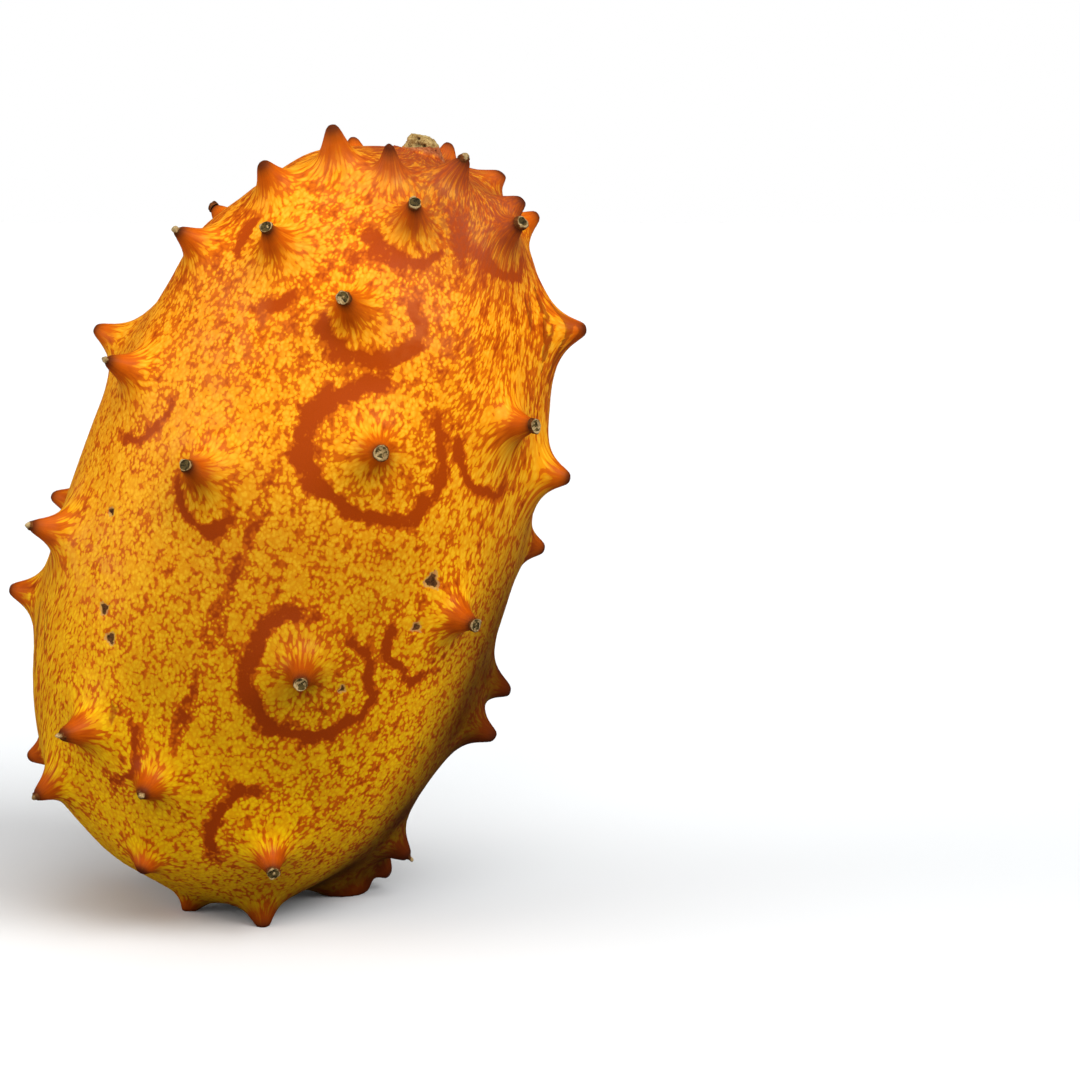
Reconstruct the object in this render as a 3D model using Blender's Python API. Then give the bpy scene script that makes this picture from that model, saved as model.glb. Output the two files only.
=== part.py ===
"""A ripe horned melon standing on its blossom end, with the dry stub of its stalk.

The fruit grew as one piece, so it is one closed solid: a full, egg-shaped body turned about the
fruit's own axis, lifted into a horn at each of its roots, leant over and set down on three feet.
The stub of the stalk is a piece of its own.
"""
import math
from typing import NamedTuple

import bpy
import numpy as np
from mathutils.geometry import delaunay_2d_cdt

MM = 0.001

# The body. Stations run along its axis from the middle, up to the stalk and down to the blossom end.
HALF_LENGTH = 57.3 * MM
HALF_WIDTH = 33.6 * MM
FULLNESS = 2.45  # 2 would be an ellipsoid, and larger is squarer
TAPER = 0.05  # how much slimmer than the middle the stalk end is, and how much fuller the other

# How it stands
LEAN = math.radians(19.0)  # from upright, towards +X
MIDDLE_HEIGHT = 58.3 * MM

# Horns. Every horn is a flared spine on a low, broad shoulder.
TIP_RADIUS = 0.95 * MM
TIP_ROUNDING = 0.22 * MM
SHOULDER_RISE = 1.0 * MM
SHOULDER_RADIUS = 11.0 * MM

# Stub of the stalk, and the flat seat that it stands on
SEAT_RADIUS = 4.3 * MM
SEAT_RISE = 0.8 * MM
STUB_GAP = 0.3 * MM
STUB_HEIGHT = 3.3 * MM
STUB_SLANT = 0.42  # how steeply its broken end falls towards +X
STUB_SHIFT = 0.5 * MM
STUB_SIDES = 20
STUB_LEVELS = (0.0, 0.2, 0.45, 0.75, 1.0)  # shares of its height
STUB_RADII = (2.7 * MM, 3.3 * MM, 3.2 * MM, 2.7 * MM, 2.2 * MM)
STUB_KNOBS = ((3, 0.07, 1.0), (5, 0.05, 2.0))  # knobs round it, share of the radius, turn in radians

# How closely the skin is faceted
FILL_POINTS = 900
TIP_RINGS = ((0.55, 6), (0.95, 8))  # share of the tip's radius, points
FLARE_RINGS = ((0.4, 9), (1.0, 10), (2.0, 12), (3.4, 14))  # flares beyond the tip, points
RING_TURN = 0.4  # each ring is turned against the last, in radians
MERIDIAN_STEPS = 2001
GOLDEN_ANGLE = math.pi * (3.0 - math.sqrt(5.0))
POINT_GAP = 0.6 * MM  # the least room between one horn's rings and the next
CHART_MERGE = 1e-7  # points of the chart nearer than this are one


class Horn(NamedTuple):
    """One horn: where its root is, how far it stands out and which way its tip is drawn."""
    bearing: float  # degrees round the axis, from -Y towards +X
    station: float  # mm along the axis
    height: float  # mm above its shoulder
    around: float = 0.0  # mm that the tip is drawn round the fruit
    along: float = 0.0  # mm that the tip is drawn towards the stalk
    flare: float = 1.15  # mm over which the spine thins to about a third
    blunt: float = 1.0  # the tip's radius, in tip radii


HORNS = (
    # Seat of the stub: a shoulder with no spine, and the ring of horns round it
    Horn(0, 57.3, 0.0, blunt=4.4),
    Horn(-10, 53.5, 4.5, -1.0, 0.0, 1.0),
    Horn(24, 55, 4.5, 0.5, -0.5, 1.2),
    Horn(100, 56, 3.0, 0.0, -1.5, 1.4),
    Horn(159, 56, 4.0, 1.0, 0.0, 1.0),
    Horn(-150, 52, 5.0, 1.0, 0.0, 1.2),
    Horn(-38, 52.5, 6.0, 0.0, 0.0, 1.2),
    # Front rib
    Horn(7, 48.5, 5.5, -1.0, -1.0, 1.2),
    Horn(-2, 35, 6.0, -1.5, -0.5, 1.2),
    Horn(14, 18, 6.0, -0.5, 0.0, 1.25),
    Horn(14, -14, 6.0, -1.0, -0.5, 1.25),
    Horn(-13, -37, 5.0, 0.5, 1.0, 1.2),
    Horn(26, -42.5, 4.5, -0.5, 1.0, 1.2),
    # Front right rib
    Horn(57, 53, 4.0, -0.5, -1.0, 1.3),
    Horn(48, 50, 4.5, -1.0, -0.5, 1.3),
    Horn(52, 26, 5.0, -1.0, 0.5, 1.25),
    Horn(49, -2, 5.0, -1.0, 0.5, 1.25),
    # Right rib
    Horn(117, 51, 4.5, 0.5, 0.0, 1.2),
    Horn(80, 39.5, 5.0, 0.0, 0.0, 2.0),
    Horn(75, 20, 4.5, -0.5, 0.0, 1.7),
    Horn(103, 7, 3.5, 0.5, 0.0, 1.3),
    Horn(98, -14, 4.5, 0.0, -0.5, 1.5),
    Horn(89, -20.5, 4.5, 0.0, 0.0, 1.5),
    Horn(92, -41, 4.0, 0.5, 0.0, 1.4),
    Horn(104, -44, 4.5, 0.5, -0.5, 1.2),
    # Front left rib
    Horn(-31, 39.5, 5.5, 0.5, 0.0, 1.2),
    Horn(-23, 7, 6.0, 0.0, 1.0, 1.3),
    Horn(-35, -33.5, 5.5, 0.0, 0.5, 1.25),
    # Left rib
    Horn(-50, 46.5, 5.0, 0.5, 0.0, 1.4),
    Horn(-60, 35.5, 5.0, 1.0, -0.5, 1.3),
    Horn(-57, 16, 5.5, 1.0, 0.0, 1.3),
    Horn(-95, 17, 5.0, 0.0, 0.0, 1.6),
    Horn(-65, -10, 5.0, 0.5, 0.0, 1.3),
    Horn(-96, -23.5, 5.0, -0.5, 0.0, 1.6),
    Horn(-100, -46, 4.0, -0.5, 0.0, 1.4),
    Horn(-52, -44.5, 4.0, 0.5, -0.5, 1.2),
    # Back left rib
    Horn(-119, 38, 4.5, -0.5, -0.5, 1.2),
    Horn(-109, -9.5, 5.0, 0.0, -0.5, 1.3),
    Horn(-143, 22, 5.5, 1.0, 0.5, 1.3),
    Horn(-138, 1, 5.5, 0.0, -0.5, 1.25),
    Horn(-142, -21, 5.5, -1.0, 0.5, 1.3),
    Horn(-135, -41, 4.5, 0.0, 0.5, 1.2),
    # Back rib
    Horn(-172, 33, 5.5, -1.0, 0.0, 1.25),
    Horn(-168, 11, 6.0, 0.5, 1.0, 1.25),
    Horn(-173, -12, 5.5, 1.0, -0.5, 1.3),
    Horn(-168, -33, 5.5, 0.0, 1.0, 1.2),
    Horn(158, 42, 5.0, 0.0, -1.0, 1.2),
    Horn(163, 22, 6.0, -1.0, 0.0, 1.25),
    Horn(158, 0, 5.5, 1.0, 0.5, 1.3),
    Horn(162, -22, 5.5, 0.0, -0.5, 1.25),
    Horn(156, -41, 4.5, 0.0, 0.5, 1.2),
    # Back right rib
    Horn(131, 37, 5.5, 1.0, 0.0, 1.25),
    Horn(129, 14, 5.5, -1.0, 0.5, 1.3),
    Horn(133, -9, 5.5, 0.0, 0.0, 1.25),
    Horn(128, -31, 5.0, 1.0, 0.5, 1.3),
    # Feet and the small horn beside them, at the blossom end
    Horn(35, -57, 3.0, 0.0, -1.0, 1.2),
    Horn(48, -53, 4.0, -0.5, 0.5, 1.4),
    Horn(104, -49, 5.0, 0.0, 0.0, 2.2, 3.0),
    Horn(-12, -50, 2.5, 0.5, 1.0, 1.0),
    Horn(-150, -55, 4.5, 0.0, 0.5, 1.2),
)

# Broad, shallow hollows between the horns: bearing in degrees, then station, depth and reach in mm
HOLLOWS = (
    (-92, 46, 1.4, 12),
    (-88, 27, 1.2, 13),
    (-90, -53, 2.2, 14),
)


def meridian():
    """The body's outline from the stalk to the blossom end, with what is measured along it."""
    angle = np.linspace(0.0, math.pi, MERIDIAN_STEPS)
    across, down = np.sin(angle), np.cos(angle)
    size = (np.abs(across) ** FULLNESS + np.abs(down) ** FULLNESS) ** (1.0 / FULLNESS)
    station = HALF_LENGTH * down / size
    radius = HALF_WIDTH * across / size * (1.0 - TAPER * station / HALF_LENGTH)
    step = np.hypot(np.diff(radius), np.diff(station))
    mean_radius = (radius[1:] + radius[:-1]) / 2.0
    turned = np.concatenate(([0.0], np.cumsum(step / mean_radius)))
    return {
        "angle": angle,
        "radius": radius,
        "station": station,
        "ray": np.arctan2(radius / HALF_WIDTH, station / HALF_LENGTH),
        "area": np.concatenate(([0.0], np.cumsum(2.0 * math.pi * mean_radius * step))),
        "chart": np.interp(math.pi / 2.0, angle, turned) - turned,
    }


OUTLINE = meridian()


def body_point(angle, bearing):
    """Points of the smooth body, in the fruit's own axes."""
    radius = np.interp(angle, OUTLINE["angle"], OUTLINE["radius"])
    station = np.interp(angle, OUTLINE["angle"], OUTLINE["station"])
    return np.stack((radius * np.sin(bearing), -radius * np.cos(bearing), station), axis=-1)


def body_normal(angle, bearing):
    """Outward normals of the smooth body."""
    near = math.pi / MERIDIAN_STEPS
    before = np.clip(angle - near, 0.0, math.pi)
    after = np.clip(angle + near, 0.0, math.pi)
    rise = [np.interp(after, OUTLINE["angle"], OUTLINE[name])
            - np.interp(before, OUTLINE["angle"], OUTLINE[name]) for name in ("radius", "station")]
    length = np.hypot(rise[0], rise[1])
    outward, upward = -rise[1] / length, rise[0] / length
    return np.stack((outward * np.sin(bearing), -outward * np.cos(bearing), upward), axis=-1)


def on_body(points):
    """The angle and the bearing of the body's points under points near it."""
    reach = np.hypot(points[..., 0], points[..., 1])
    ray = np.arctan2(reach / HALF_WIDTH, points[..., 2] / HALF_LENGTH)
    angle = np.interp(ray, OUTLINE["ray"], OUTLINE["angle"])
    return angle, np.arctan2(points[..., 0], -points[..., 1])


def place(degrees, station):
    """A place on the body, and its outward, round-about and along directions."""
    angle = np.interp(-station * MM, -OUTLINE["station"], OUTLINE["angle"])
    bearing = np.float64(math.radians(degrees))
    outward = body_normal(angle, bearing)
    around = np.array((math.cos(bearing), math.sin(bearing), 0.0))
    return body_point(angle, bearing), outward, around, np.cross(outward, around)


def ring_sizes(horn):
    """The radius and the number of points of each ring about a horn's root."""
    tip = TIP_RADIUS * horn.blunt
    on_tip = [(tip * share, count) for share, count in TIP_RINGS]
    return on_tip + [(tip + horn.flare * MM * flares, count) for flares, count in FLARE_RINGS]


def spread_points():
    """Where the skin has its points: rings about each horn, an even spiral between them and the two ends.

    The seat's root is the stalk's end itself, so it is left to the ends.
    """
    roots = np.array([place(horn.bearing, horn.station)[0] for horn in HORNS])
    reaches = np.array([ring_sizes(horn)[-1][0] for horn in HORNS])
    turn = np.arange(FILL_POINTS) + 0.5
    spiral = body_point(np.interp(turn / FILL_POINTS * OUTLINE["area"][-1],
                                  OUTLINE["area"], OUTLINE["angle"]), turn * GOLDEN_ANGLE)
    clear = np.linalg.norm(spiral[:, None] - roots, axis=2) - reaches
    groups = [spiral[clear.min(axis=1) > 2.0 * POINT_GAP]]
    for index, horn in enumerate(HORNS):
        root, _, around, along = place(horn.bearing, horn.station)
        if abs(horn.station * MM) < HALF_LENGTH:
            groups.append(root[None])
        for ring, (radius, count) in enumerate(ring_sizes(horn)):
            turns = np.arange(count) * 2.0 * math.pi / count + ring * RING_TURN
            circle = root + radius * (np.outer(np.cos(turns), around) + np.outer(np.sin(turns), along))
            circle = body_point(*on_body(circle))
            away = np.linalg.norm(circle[:, None] - roots, axis=2)
            own = away[:, index].copy()
            away[:, index] = np.inf
            groups.append(circle[away.min(axis=1) - own > POINT_GAP])
    return np.concatenate(groups + [np.array([[0.0, 0.0, -HALF_LENGTH], [0.0, 0.0, HALF_LENGTH]])])


def skin_faces(angle, bearing):
    """Triangles over the body's points, the last of which is the stalk's end.

    The points are laid out on a plane chart of the body that keeps small circles round, with the
    blossom end at its centre, and are joined there. What is left open is drawn up to the last point.
    """
    reach = np.exp(np.interp(angle[:-1], OUTLINE["angle"], OUTLINE["chart"]))
    chart = np.stack((reach * np.cos(bearing[:-1]), reach * np.sin(bearing[:-1])), axis=1)
    joined = delaunay_2d_cdt(chart.tolist(), [], [], 0, CHART_MERGE, False)[2]
    faces = [tuple(reversed(face)) for face in joined]
    edges = {(face[i], face[(i + 1) % 3]) for face in faces for i in range(3)}
    last = len(angle) - 1
    return faces + [(b, a, last) for a, b in sorted(edges) if (b, a) not in edges]


def bump(away, reach):
    """A smooth rise from 0 at a reach to 1 in the middle."""
    return np.cos(math.pi / 2.0 * np.minimum(away / reach, 1.0)) ** 2


def shape_skin(points, normals):
    """The body's points lifted into shoulders and horns, sunk into hollows and levelled at the seat."""
    raised = points.copy()
    for bearing, station, depth, reach in HOLLOWS:
        middle, outward, _, _ = place(bearing, station)
        hollow = bump(np.linalg.norm(points - middle, axis=1), reach * MM)
        raised -= np.outer(hollow, depth * MM * outward)
    for horn in HORNS:
        root, outward, around, along = place(horn.bearing, horn.station)
        tip = horn.height * outward + horn.around * around + horn.along * along
        offset = points - root
        away = np.linalg.norm(offset - np.outer(offset @ outward, outward), axis=1)
        this_side = normals @ outward > 0.0
        past_tip = TIP_ROUNDING * np.logaddexp(0.0, (away - TIP_RADIUS * horn.blunt) / TIP_ROUNDING)
        spine = np.exp(-past_tip / (horn.flare * MM)) * this_side
        shoulder = bump(away, SHOULDER_RADIUS) * this_side
        raised += np.outer(spine, tip * MM) + np.outer(shoulder, SHOULDER_RISE * outward)
    seat = (np.hypot(points[:, 0], points[:, 1]) < SEAT_RADIUS) & (points[:, 2] > 0.0)
    raised[seat, 2] = HALF_LENGTH + SEAT_RISE
    return raised


def stand(points):
    """Points in the fruit's own axes, leant over and raised to where the fruit stands."""
    lean = np.array(((math.cos(LEAN), 0.0, math.sin(LEAN)),
                     (0.0, 1.0, 0.0),
                     (-math.sin(LEAN), 0.0, math.cos(LEAN))))
    return points @ lean.T + np.array((0.0, 0.0, MIDDLE_HEIGHT))


def fruit_mesh():
    """The fruit's points and faces, pressed flat where it stands."""
    angle, bearing = on_body(spread_points())
    faces = skin_faces(angle, bearing)
    skin = stand(shape_skin(body_point(angle, bearing), body_normal(angle, bearing)))
    skin[:, 2] = np.maximum(skin[:, 2], 0.0)
    return skin, faces


def stub_mesh():
    """The stub's points and faces: a knobbly column with a slanting broken end."""
    turns = np.arange(STUB_SIDES) * 2.0 * math.pi / STUB_SIDES
    knobs = 1.0 + sum(share * np.cos(count * turns + turn) for count, share, turn in STUB_KNOBS)
    rings = []
    for level, radius in zip(STUB_LEVELS, STUB_RADII):
        across = radius * knobs * np.cos(turns)
        deep = radius * knobs * np.sin(turns)
        height = level * (STUB_HEIGHT - STUB_SLANT * across)
        rings.append(np.stack((across, deep, height), axis=1))
    ends = np.array(((0.0, 0.0, 0.0), (0.0, 0.0, STUB_HEIGHT)))
    foot = np.array((STUB_SHIFT, 0.0, HALF_LENGTH + SEAT_RISE + STUB_GAP))
    points = stand(np.concatenate(rings + [ends]) + foot)
    top = (len(rings) - 1) * STUB_SIDES
    bottom_end, top_end = len(rings) * STUB_SIDES, len(rings) * STUB_SIDES + 1
    faces = []
    for side in range(STUB_SIDES):
        after = (side + 1) % STUB_SIDES
        faces.append((after, side, bottom_end))
        for low in range(0, top, STUB_SIDES):
            high = low + STUB_SIDES
            faces.append((low + side, low + after, high + after, high + side))
        faces.append((top + side, top + after, top_end))
    return points, faces


def make_material(name, colour, roughness):
    material = bpy.data.materials.new(name)
    material.use_nodes = True
    shader = material.node_tree.nodes["Principled BSDF"]
    shader.inputs["Base Color"].default_value = (*colour, 1.0)
    shader.inputs["Roughness"].default_value = roughness
    shader.inputs["Metallic"].default_value = 0.0
    return material


def add_solid(name, points, faces, material):
    mesh = bpy.data.meshes.new(name)
    mesh.from_pydata(points.tolist(), [], faces)
    mesh.validate()
    mesh.shade_smooth()
    mesh.materials.append(material)
    bpy.context.collection.objects.link(bpy.data.objects.new(name, mesh))


def main():
    for old in list(bpy.data.objects):
        bpy.data.objects.remove(old, do_unlink=True)
    skin, skin_sides = fruit_mesh()
    stub, stub_sides = stub_mesh()
    both = np.concatenate((skin, stub))
    centre = (both.min(axis=0) + both.max(axis=0)) / 2.0 * np.array((1.0, 1.0, 0.0))
    add_solid("fruit", skin - centre, skin_sides, make_material("ripe_rind", (0.76, 0.27, 0.01), 0.38))
    add_solid("stem_stub", stub - centre, stub_sides, make_material("dry_stalk", (0.40, 0.31, 0.14), 0.85))


main()
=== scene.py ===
"""The looks of a ripe horned melon: its mottled rind, its dry horn tips and the stub of its stalk.

The skin is the frame's own shape in finer facets. It is a body turned about the fruit's axis and
lifted into a horn at each root. Lengths in the tables are in mm, and everything else is in metres.
"""
import math
from typing import NamedTuple

import bpy
import numpy as np
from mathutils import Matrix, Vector, noise
from mathutils.geometry import delaunay_2d_cdt


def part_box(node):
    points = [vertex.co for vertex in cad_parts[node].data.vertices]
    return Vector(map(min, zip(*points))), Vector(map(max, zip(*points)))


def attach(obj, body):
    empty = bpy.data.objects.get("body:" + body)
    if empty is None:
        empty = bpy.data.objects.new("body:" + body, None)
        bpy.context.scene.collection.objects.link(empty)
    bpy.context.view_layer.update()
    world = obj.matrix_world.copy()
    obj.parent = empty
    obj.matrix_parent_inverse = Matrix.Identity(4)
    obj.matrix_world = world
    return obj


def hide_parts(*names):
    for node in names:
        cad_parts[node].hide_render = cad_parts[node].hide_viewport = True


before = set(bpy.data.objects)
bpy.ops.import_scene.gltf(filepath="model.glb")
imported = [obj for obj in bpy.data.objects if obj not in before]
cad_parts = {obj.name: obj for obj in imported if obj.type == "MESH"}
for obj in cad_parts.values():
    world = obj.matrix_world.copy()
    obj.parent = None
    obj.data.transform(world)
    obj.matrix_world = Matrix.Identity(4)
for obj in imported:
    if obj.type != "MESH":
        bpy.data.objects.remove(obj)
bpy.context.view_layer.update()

MM = 0.001
FULL_TURN = 2.0 * math.pi

# The body. Stations run along its axis from the middle, up to the stalk and down to the blossom end.
STALK_END = 57.3
HALF_LENGTH = STALK_END * MM
HALF_WIDTH = 33.6 * MM
FULLNESS = 2.45  # 2 would be an ellipsoid, and larger is squarer
TAPER = 0.05  # how much slimmer than the middle the stalk end is, and how much fuller the other
LEAN = math.radians(19.0)  # from upright, towards +X
MIDDLE_HEIGHT = 58.3 * MM

# Horns. Every horn is a flared spine on a low, broad shoulder.
TIP_RADIUS = 0.95 * MM
TIP_ROUNDING = 0.22 * MM
SHOULDER_RISE = 1.0 * MM
SHOULDER_RADIUS = 11.0 * MM
LONGEST_FALL = 60.0  # roundings beyond the tip, past which a spine adds next to nothing

# Stub of the stalk, and the flat seat that it stands on
SEAT_RADIUS = 4.3 * MM
SEAT_RISE = 0.8 * MM
STUB_HEIGHT = 3.2 * MM
STUB_FALL = 0.95  # how steeply its broken end falls towards +X
STUB_KNOB = 2.5 * MM  # the most that it rises
STUB_ROUNDING = 0.35 * MM
STUB_SHIFT = 0.5 * MM
STUB_RADII = (3.4, 3.3, 3.1, 3.0, 2.7)  # mm, at the levels below
STUB_LEVELS = (0.0, 0.2, 0.45, 0.75, 1.0)
STUB_WAVES = ((3.0, 0.09, 1.0), (5.0, 0.06, 2.0), (9.0, 0.03, 0.0))  # times round, how far, and from where
STUB_SIDES = 96
STUB_COLUMN_RINGS = 40
STUB_END_RINGS = 22
STUB_CROWN = 0.3 * MM  # how far the broken end swells
STUB_ROOT = 0.5 * MM  # how far it goes down into the rind
STUB_END_FACING = (0.3, 0.0, 1.0)
STUB_ROUGH = ((0.22, 1.5, 1.0), (0.18, 0.6, 0.3), (0.08, 0.3, 1.0))  # depth, size and squeeze along
STUB_ROUGH_LEVEL = 0.25  # by which the roughness has come in
STUB_PITS = ((-1.6, -2.2, 2.0, 0.5), (-1.2, -2.6, 1.1, 0.95), (0.0, -2.4, 1.9, 0.45), (-0.4, -2.9, 1.4, 0.4),
             (0.9, 1.0, 2.3, 0.6), (-1.6, 0.8, 2.7, 0.5), (-0.2, -0.6, 2.8, 0.4))  # place and reach
STUB_PIT_DEPTH = 0.7 * MM
STUB_DRY_LEAN = 0.35  # the dry top reaches lower on the side away from the fall
STUB_DRY_BAND = (0.7 * MM, 1.9 * MM)
STUB_RIND_SIDE = math.radians(205.0)  # where the rind is drawn highest up the foot
STUB_RIND_TILT = 0.28
STUB_RIND_RAG = 0.1
STUB_RIND_RAG_SIZE = 0.9 * MM
STUB_RIND_BAND = (0.62, 0.34)

# How closely the skin is faceted
FILL_POINTS = 76000
RING_STEP = 0.3 * MM  # from one ring of points to the next on a horn
RING_GROWTH = 1.12  # by which that step widens beyond the tip
RING_REACH = 3.2  # in flares beyond the tip
RING_LEAST = 8  # points
RING_TURN = 0.4  # each ring is turned against the last, in radians
POINT_GAP = 0.16 * MM  # the least room between one horn's rings and the next
CHART_MERGE = 1e-9
MERIDIAN_STEPS = 4001
GOLDEN_ANGLE = math.pi * (3.0 - math.sqrt(5.0))

# Fine relief of the rind
WRINKLE_DEPTH = 0.16 * MM
WRINKLE_WIDTH = 1.1 * MM
WRINKLE_LENGTH = 9.0 * MM
WRINKLED_LEAST = 0.25
WRINKLED_ENDS = (30 * MM, 52 * MM)
PIT_DEPTH = 0.35 * MM

# Mottling. Every horn draws it towards its root, and so turns the blots to streaks there.
STREAK_REACH = 7.5 * MM
STALK_REACH = 34.0 * MM
BLOSSOM_REACH = 14.0 * MM
STREAK_PULL = 0.38  # under a half, past which the blots would fold over
FRONT_STRETCH = 0.85  # how far along the fruit a blot is drawn out, as a share of its height
SIDE_STRETCH = 0.45
RUST_SHARE = 0.32  # of the rind, where nothing else says so
SPARSE_LOSS = 0.06
BLOSSOM_LOSS = 0.1
BLOSSOM_BAND = (-36 * MM, -54 * MM)
SHOULDER_GAIN = 0.23  # above the middle, towards the stalk
SHOULDER_BAND = (14 * MM, 42 * MM)
NEAR_HORN = 0.34  # the share of rust in the pale patch about a horn
PALE_REACH = 6.0 * MM
FLANK_RUST = 0.85
FLANK_REACH = 2.4 * MM  # how far beyond the tip the solid colour of a horn's flank fades out
FLANK_CORE = 0.5 * MM
BURNT_REACH = 0.6 * MM
BURNT_CORE = 0.7  # of the tip's radius
RING_EDGE = 1.25 * MM
RING_EDGE_MOST = 0.4  # of the ring's width
RING_FRINGE = 1.6 * MM  # over which its outer side thins out
RING_RAGGED = 0.9 * MM
RING_RAG_SIZE = 2.4 * MM
RING_WAVES = ((2.0, 0.05), (3.0, 0.035), (7.0, 0.025))  # how many times round, and how far
RING_LEAN = 0.045  # how much further out a ring reaches on its heavier side
RING_FADE = 0.5  # radians at each end of a broken ring
STREAK_END = 5.0 * MM
STREAK_WAVE = 0.6 * MM
STREAK_WAVELENGTH = 2.6 * MM
STREAK_SWELL = 0.3  # of its width
STREAK_SWELL_LENGTH = 1.7 * MM
SPOT_EDGE = 1.3  # of a spot's reach
SPOT_CORE = 0.4
SPOT_LOBES = 3.0
PAINTED_SHEEN_UNEVEN = 0.15
SCAB_UNEVEN = 0.25
CROWN_MIDDLE = (38.0, 54.0)  # of the brown about the stalk: bearing and station
CROWN_REACH = 19.0 * MM
CROWN_CORE = 5.0 * MM
CROWN_TOP = (55.5 * MM, 57.0 * MM)
CROWN_RUST = 0.9
CROWN_RUST_BAND = (49.0 * MM, 60.0 * MM)  # over which the rind about the stalk turns to rust
WARM_BAND = (15.0 * MM, 104.0 * MM)  # heights over which the ground turns from lemon to orange

# Floor, light and camera
FLOOR_REACH = 3.0
FLOOR_SEEN = (0.84, 0.86, 0.872, 1.0)
FLOOR_BOUNCE = (0.32, 0.32, 0.32, 1.0)
FLOOR_MIRRORED = (0.04, 0.04, 0.04, 1.0)
ROOM_LIGHT = 0.16
ROOM_MIRRORED = 0.06
ROOM_SEEN = 1.0
CAMERA_PLACE = (0.0369, -0.4459, 0.1185)
CAMERA_DOWN = math.radians(8.0)
LIGHTS = {  # bearing from the front towards the right, height and spread, in degrees, then strength
    "key": (12.0, 48.0, 35.0, 0.75),
    "left": (-76.0, 22.0, 45.0, 1.15),
    "right": (50.0, 40.0, 40.0, 2.2),
    "front": (-14.0, 10.0, 60.0, 0.95),
    "top": (0.0, 85.0, 60.0, 0.85),
}


class Horn(NamedTuple):
    """One horn: where its root is, how far it stands out and which way its tip is drawn."""
    bearing: float  # degrees round the axis, from -Y towards +X
    station: float
    height: float
    around: float = 0.0  # how far the tip is drawn round the fruit
    along: float = 0.0  # how far the tip is drawn towards the stalk
    flare: float = 1.15  # over which the spine thins to about a third
    blunt: float = 1.0  # the tip's radius, in tip radii
    tip: str = "bare"  # what is left at its end: "disc", "thorn" or "bare"


class Halo(NamedTuple):
    """A ring of solid rust about a horn."""
    bearing: float
    station: float
    radius: float
    width: float
    open_at: float = 0.0  # degrees from the round-about direction to the middle of the gap
    open_share: float = 0.0  # how much of the ring is missing
    heavy_at: float = 215.0  # degrees to its heavier side


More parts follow.
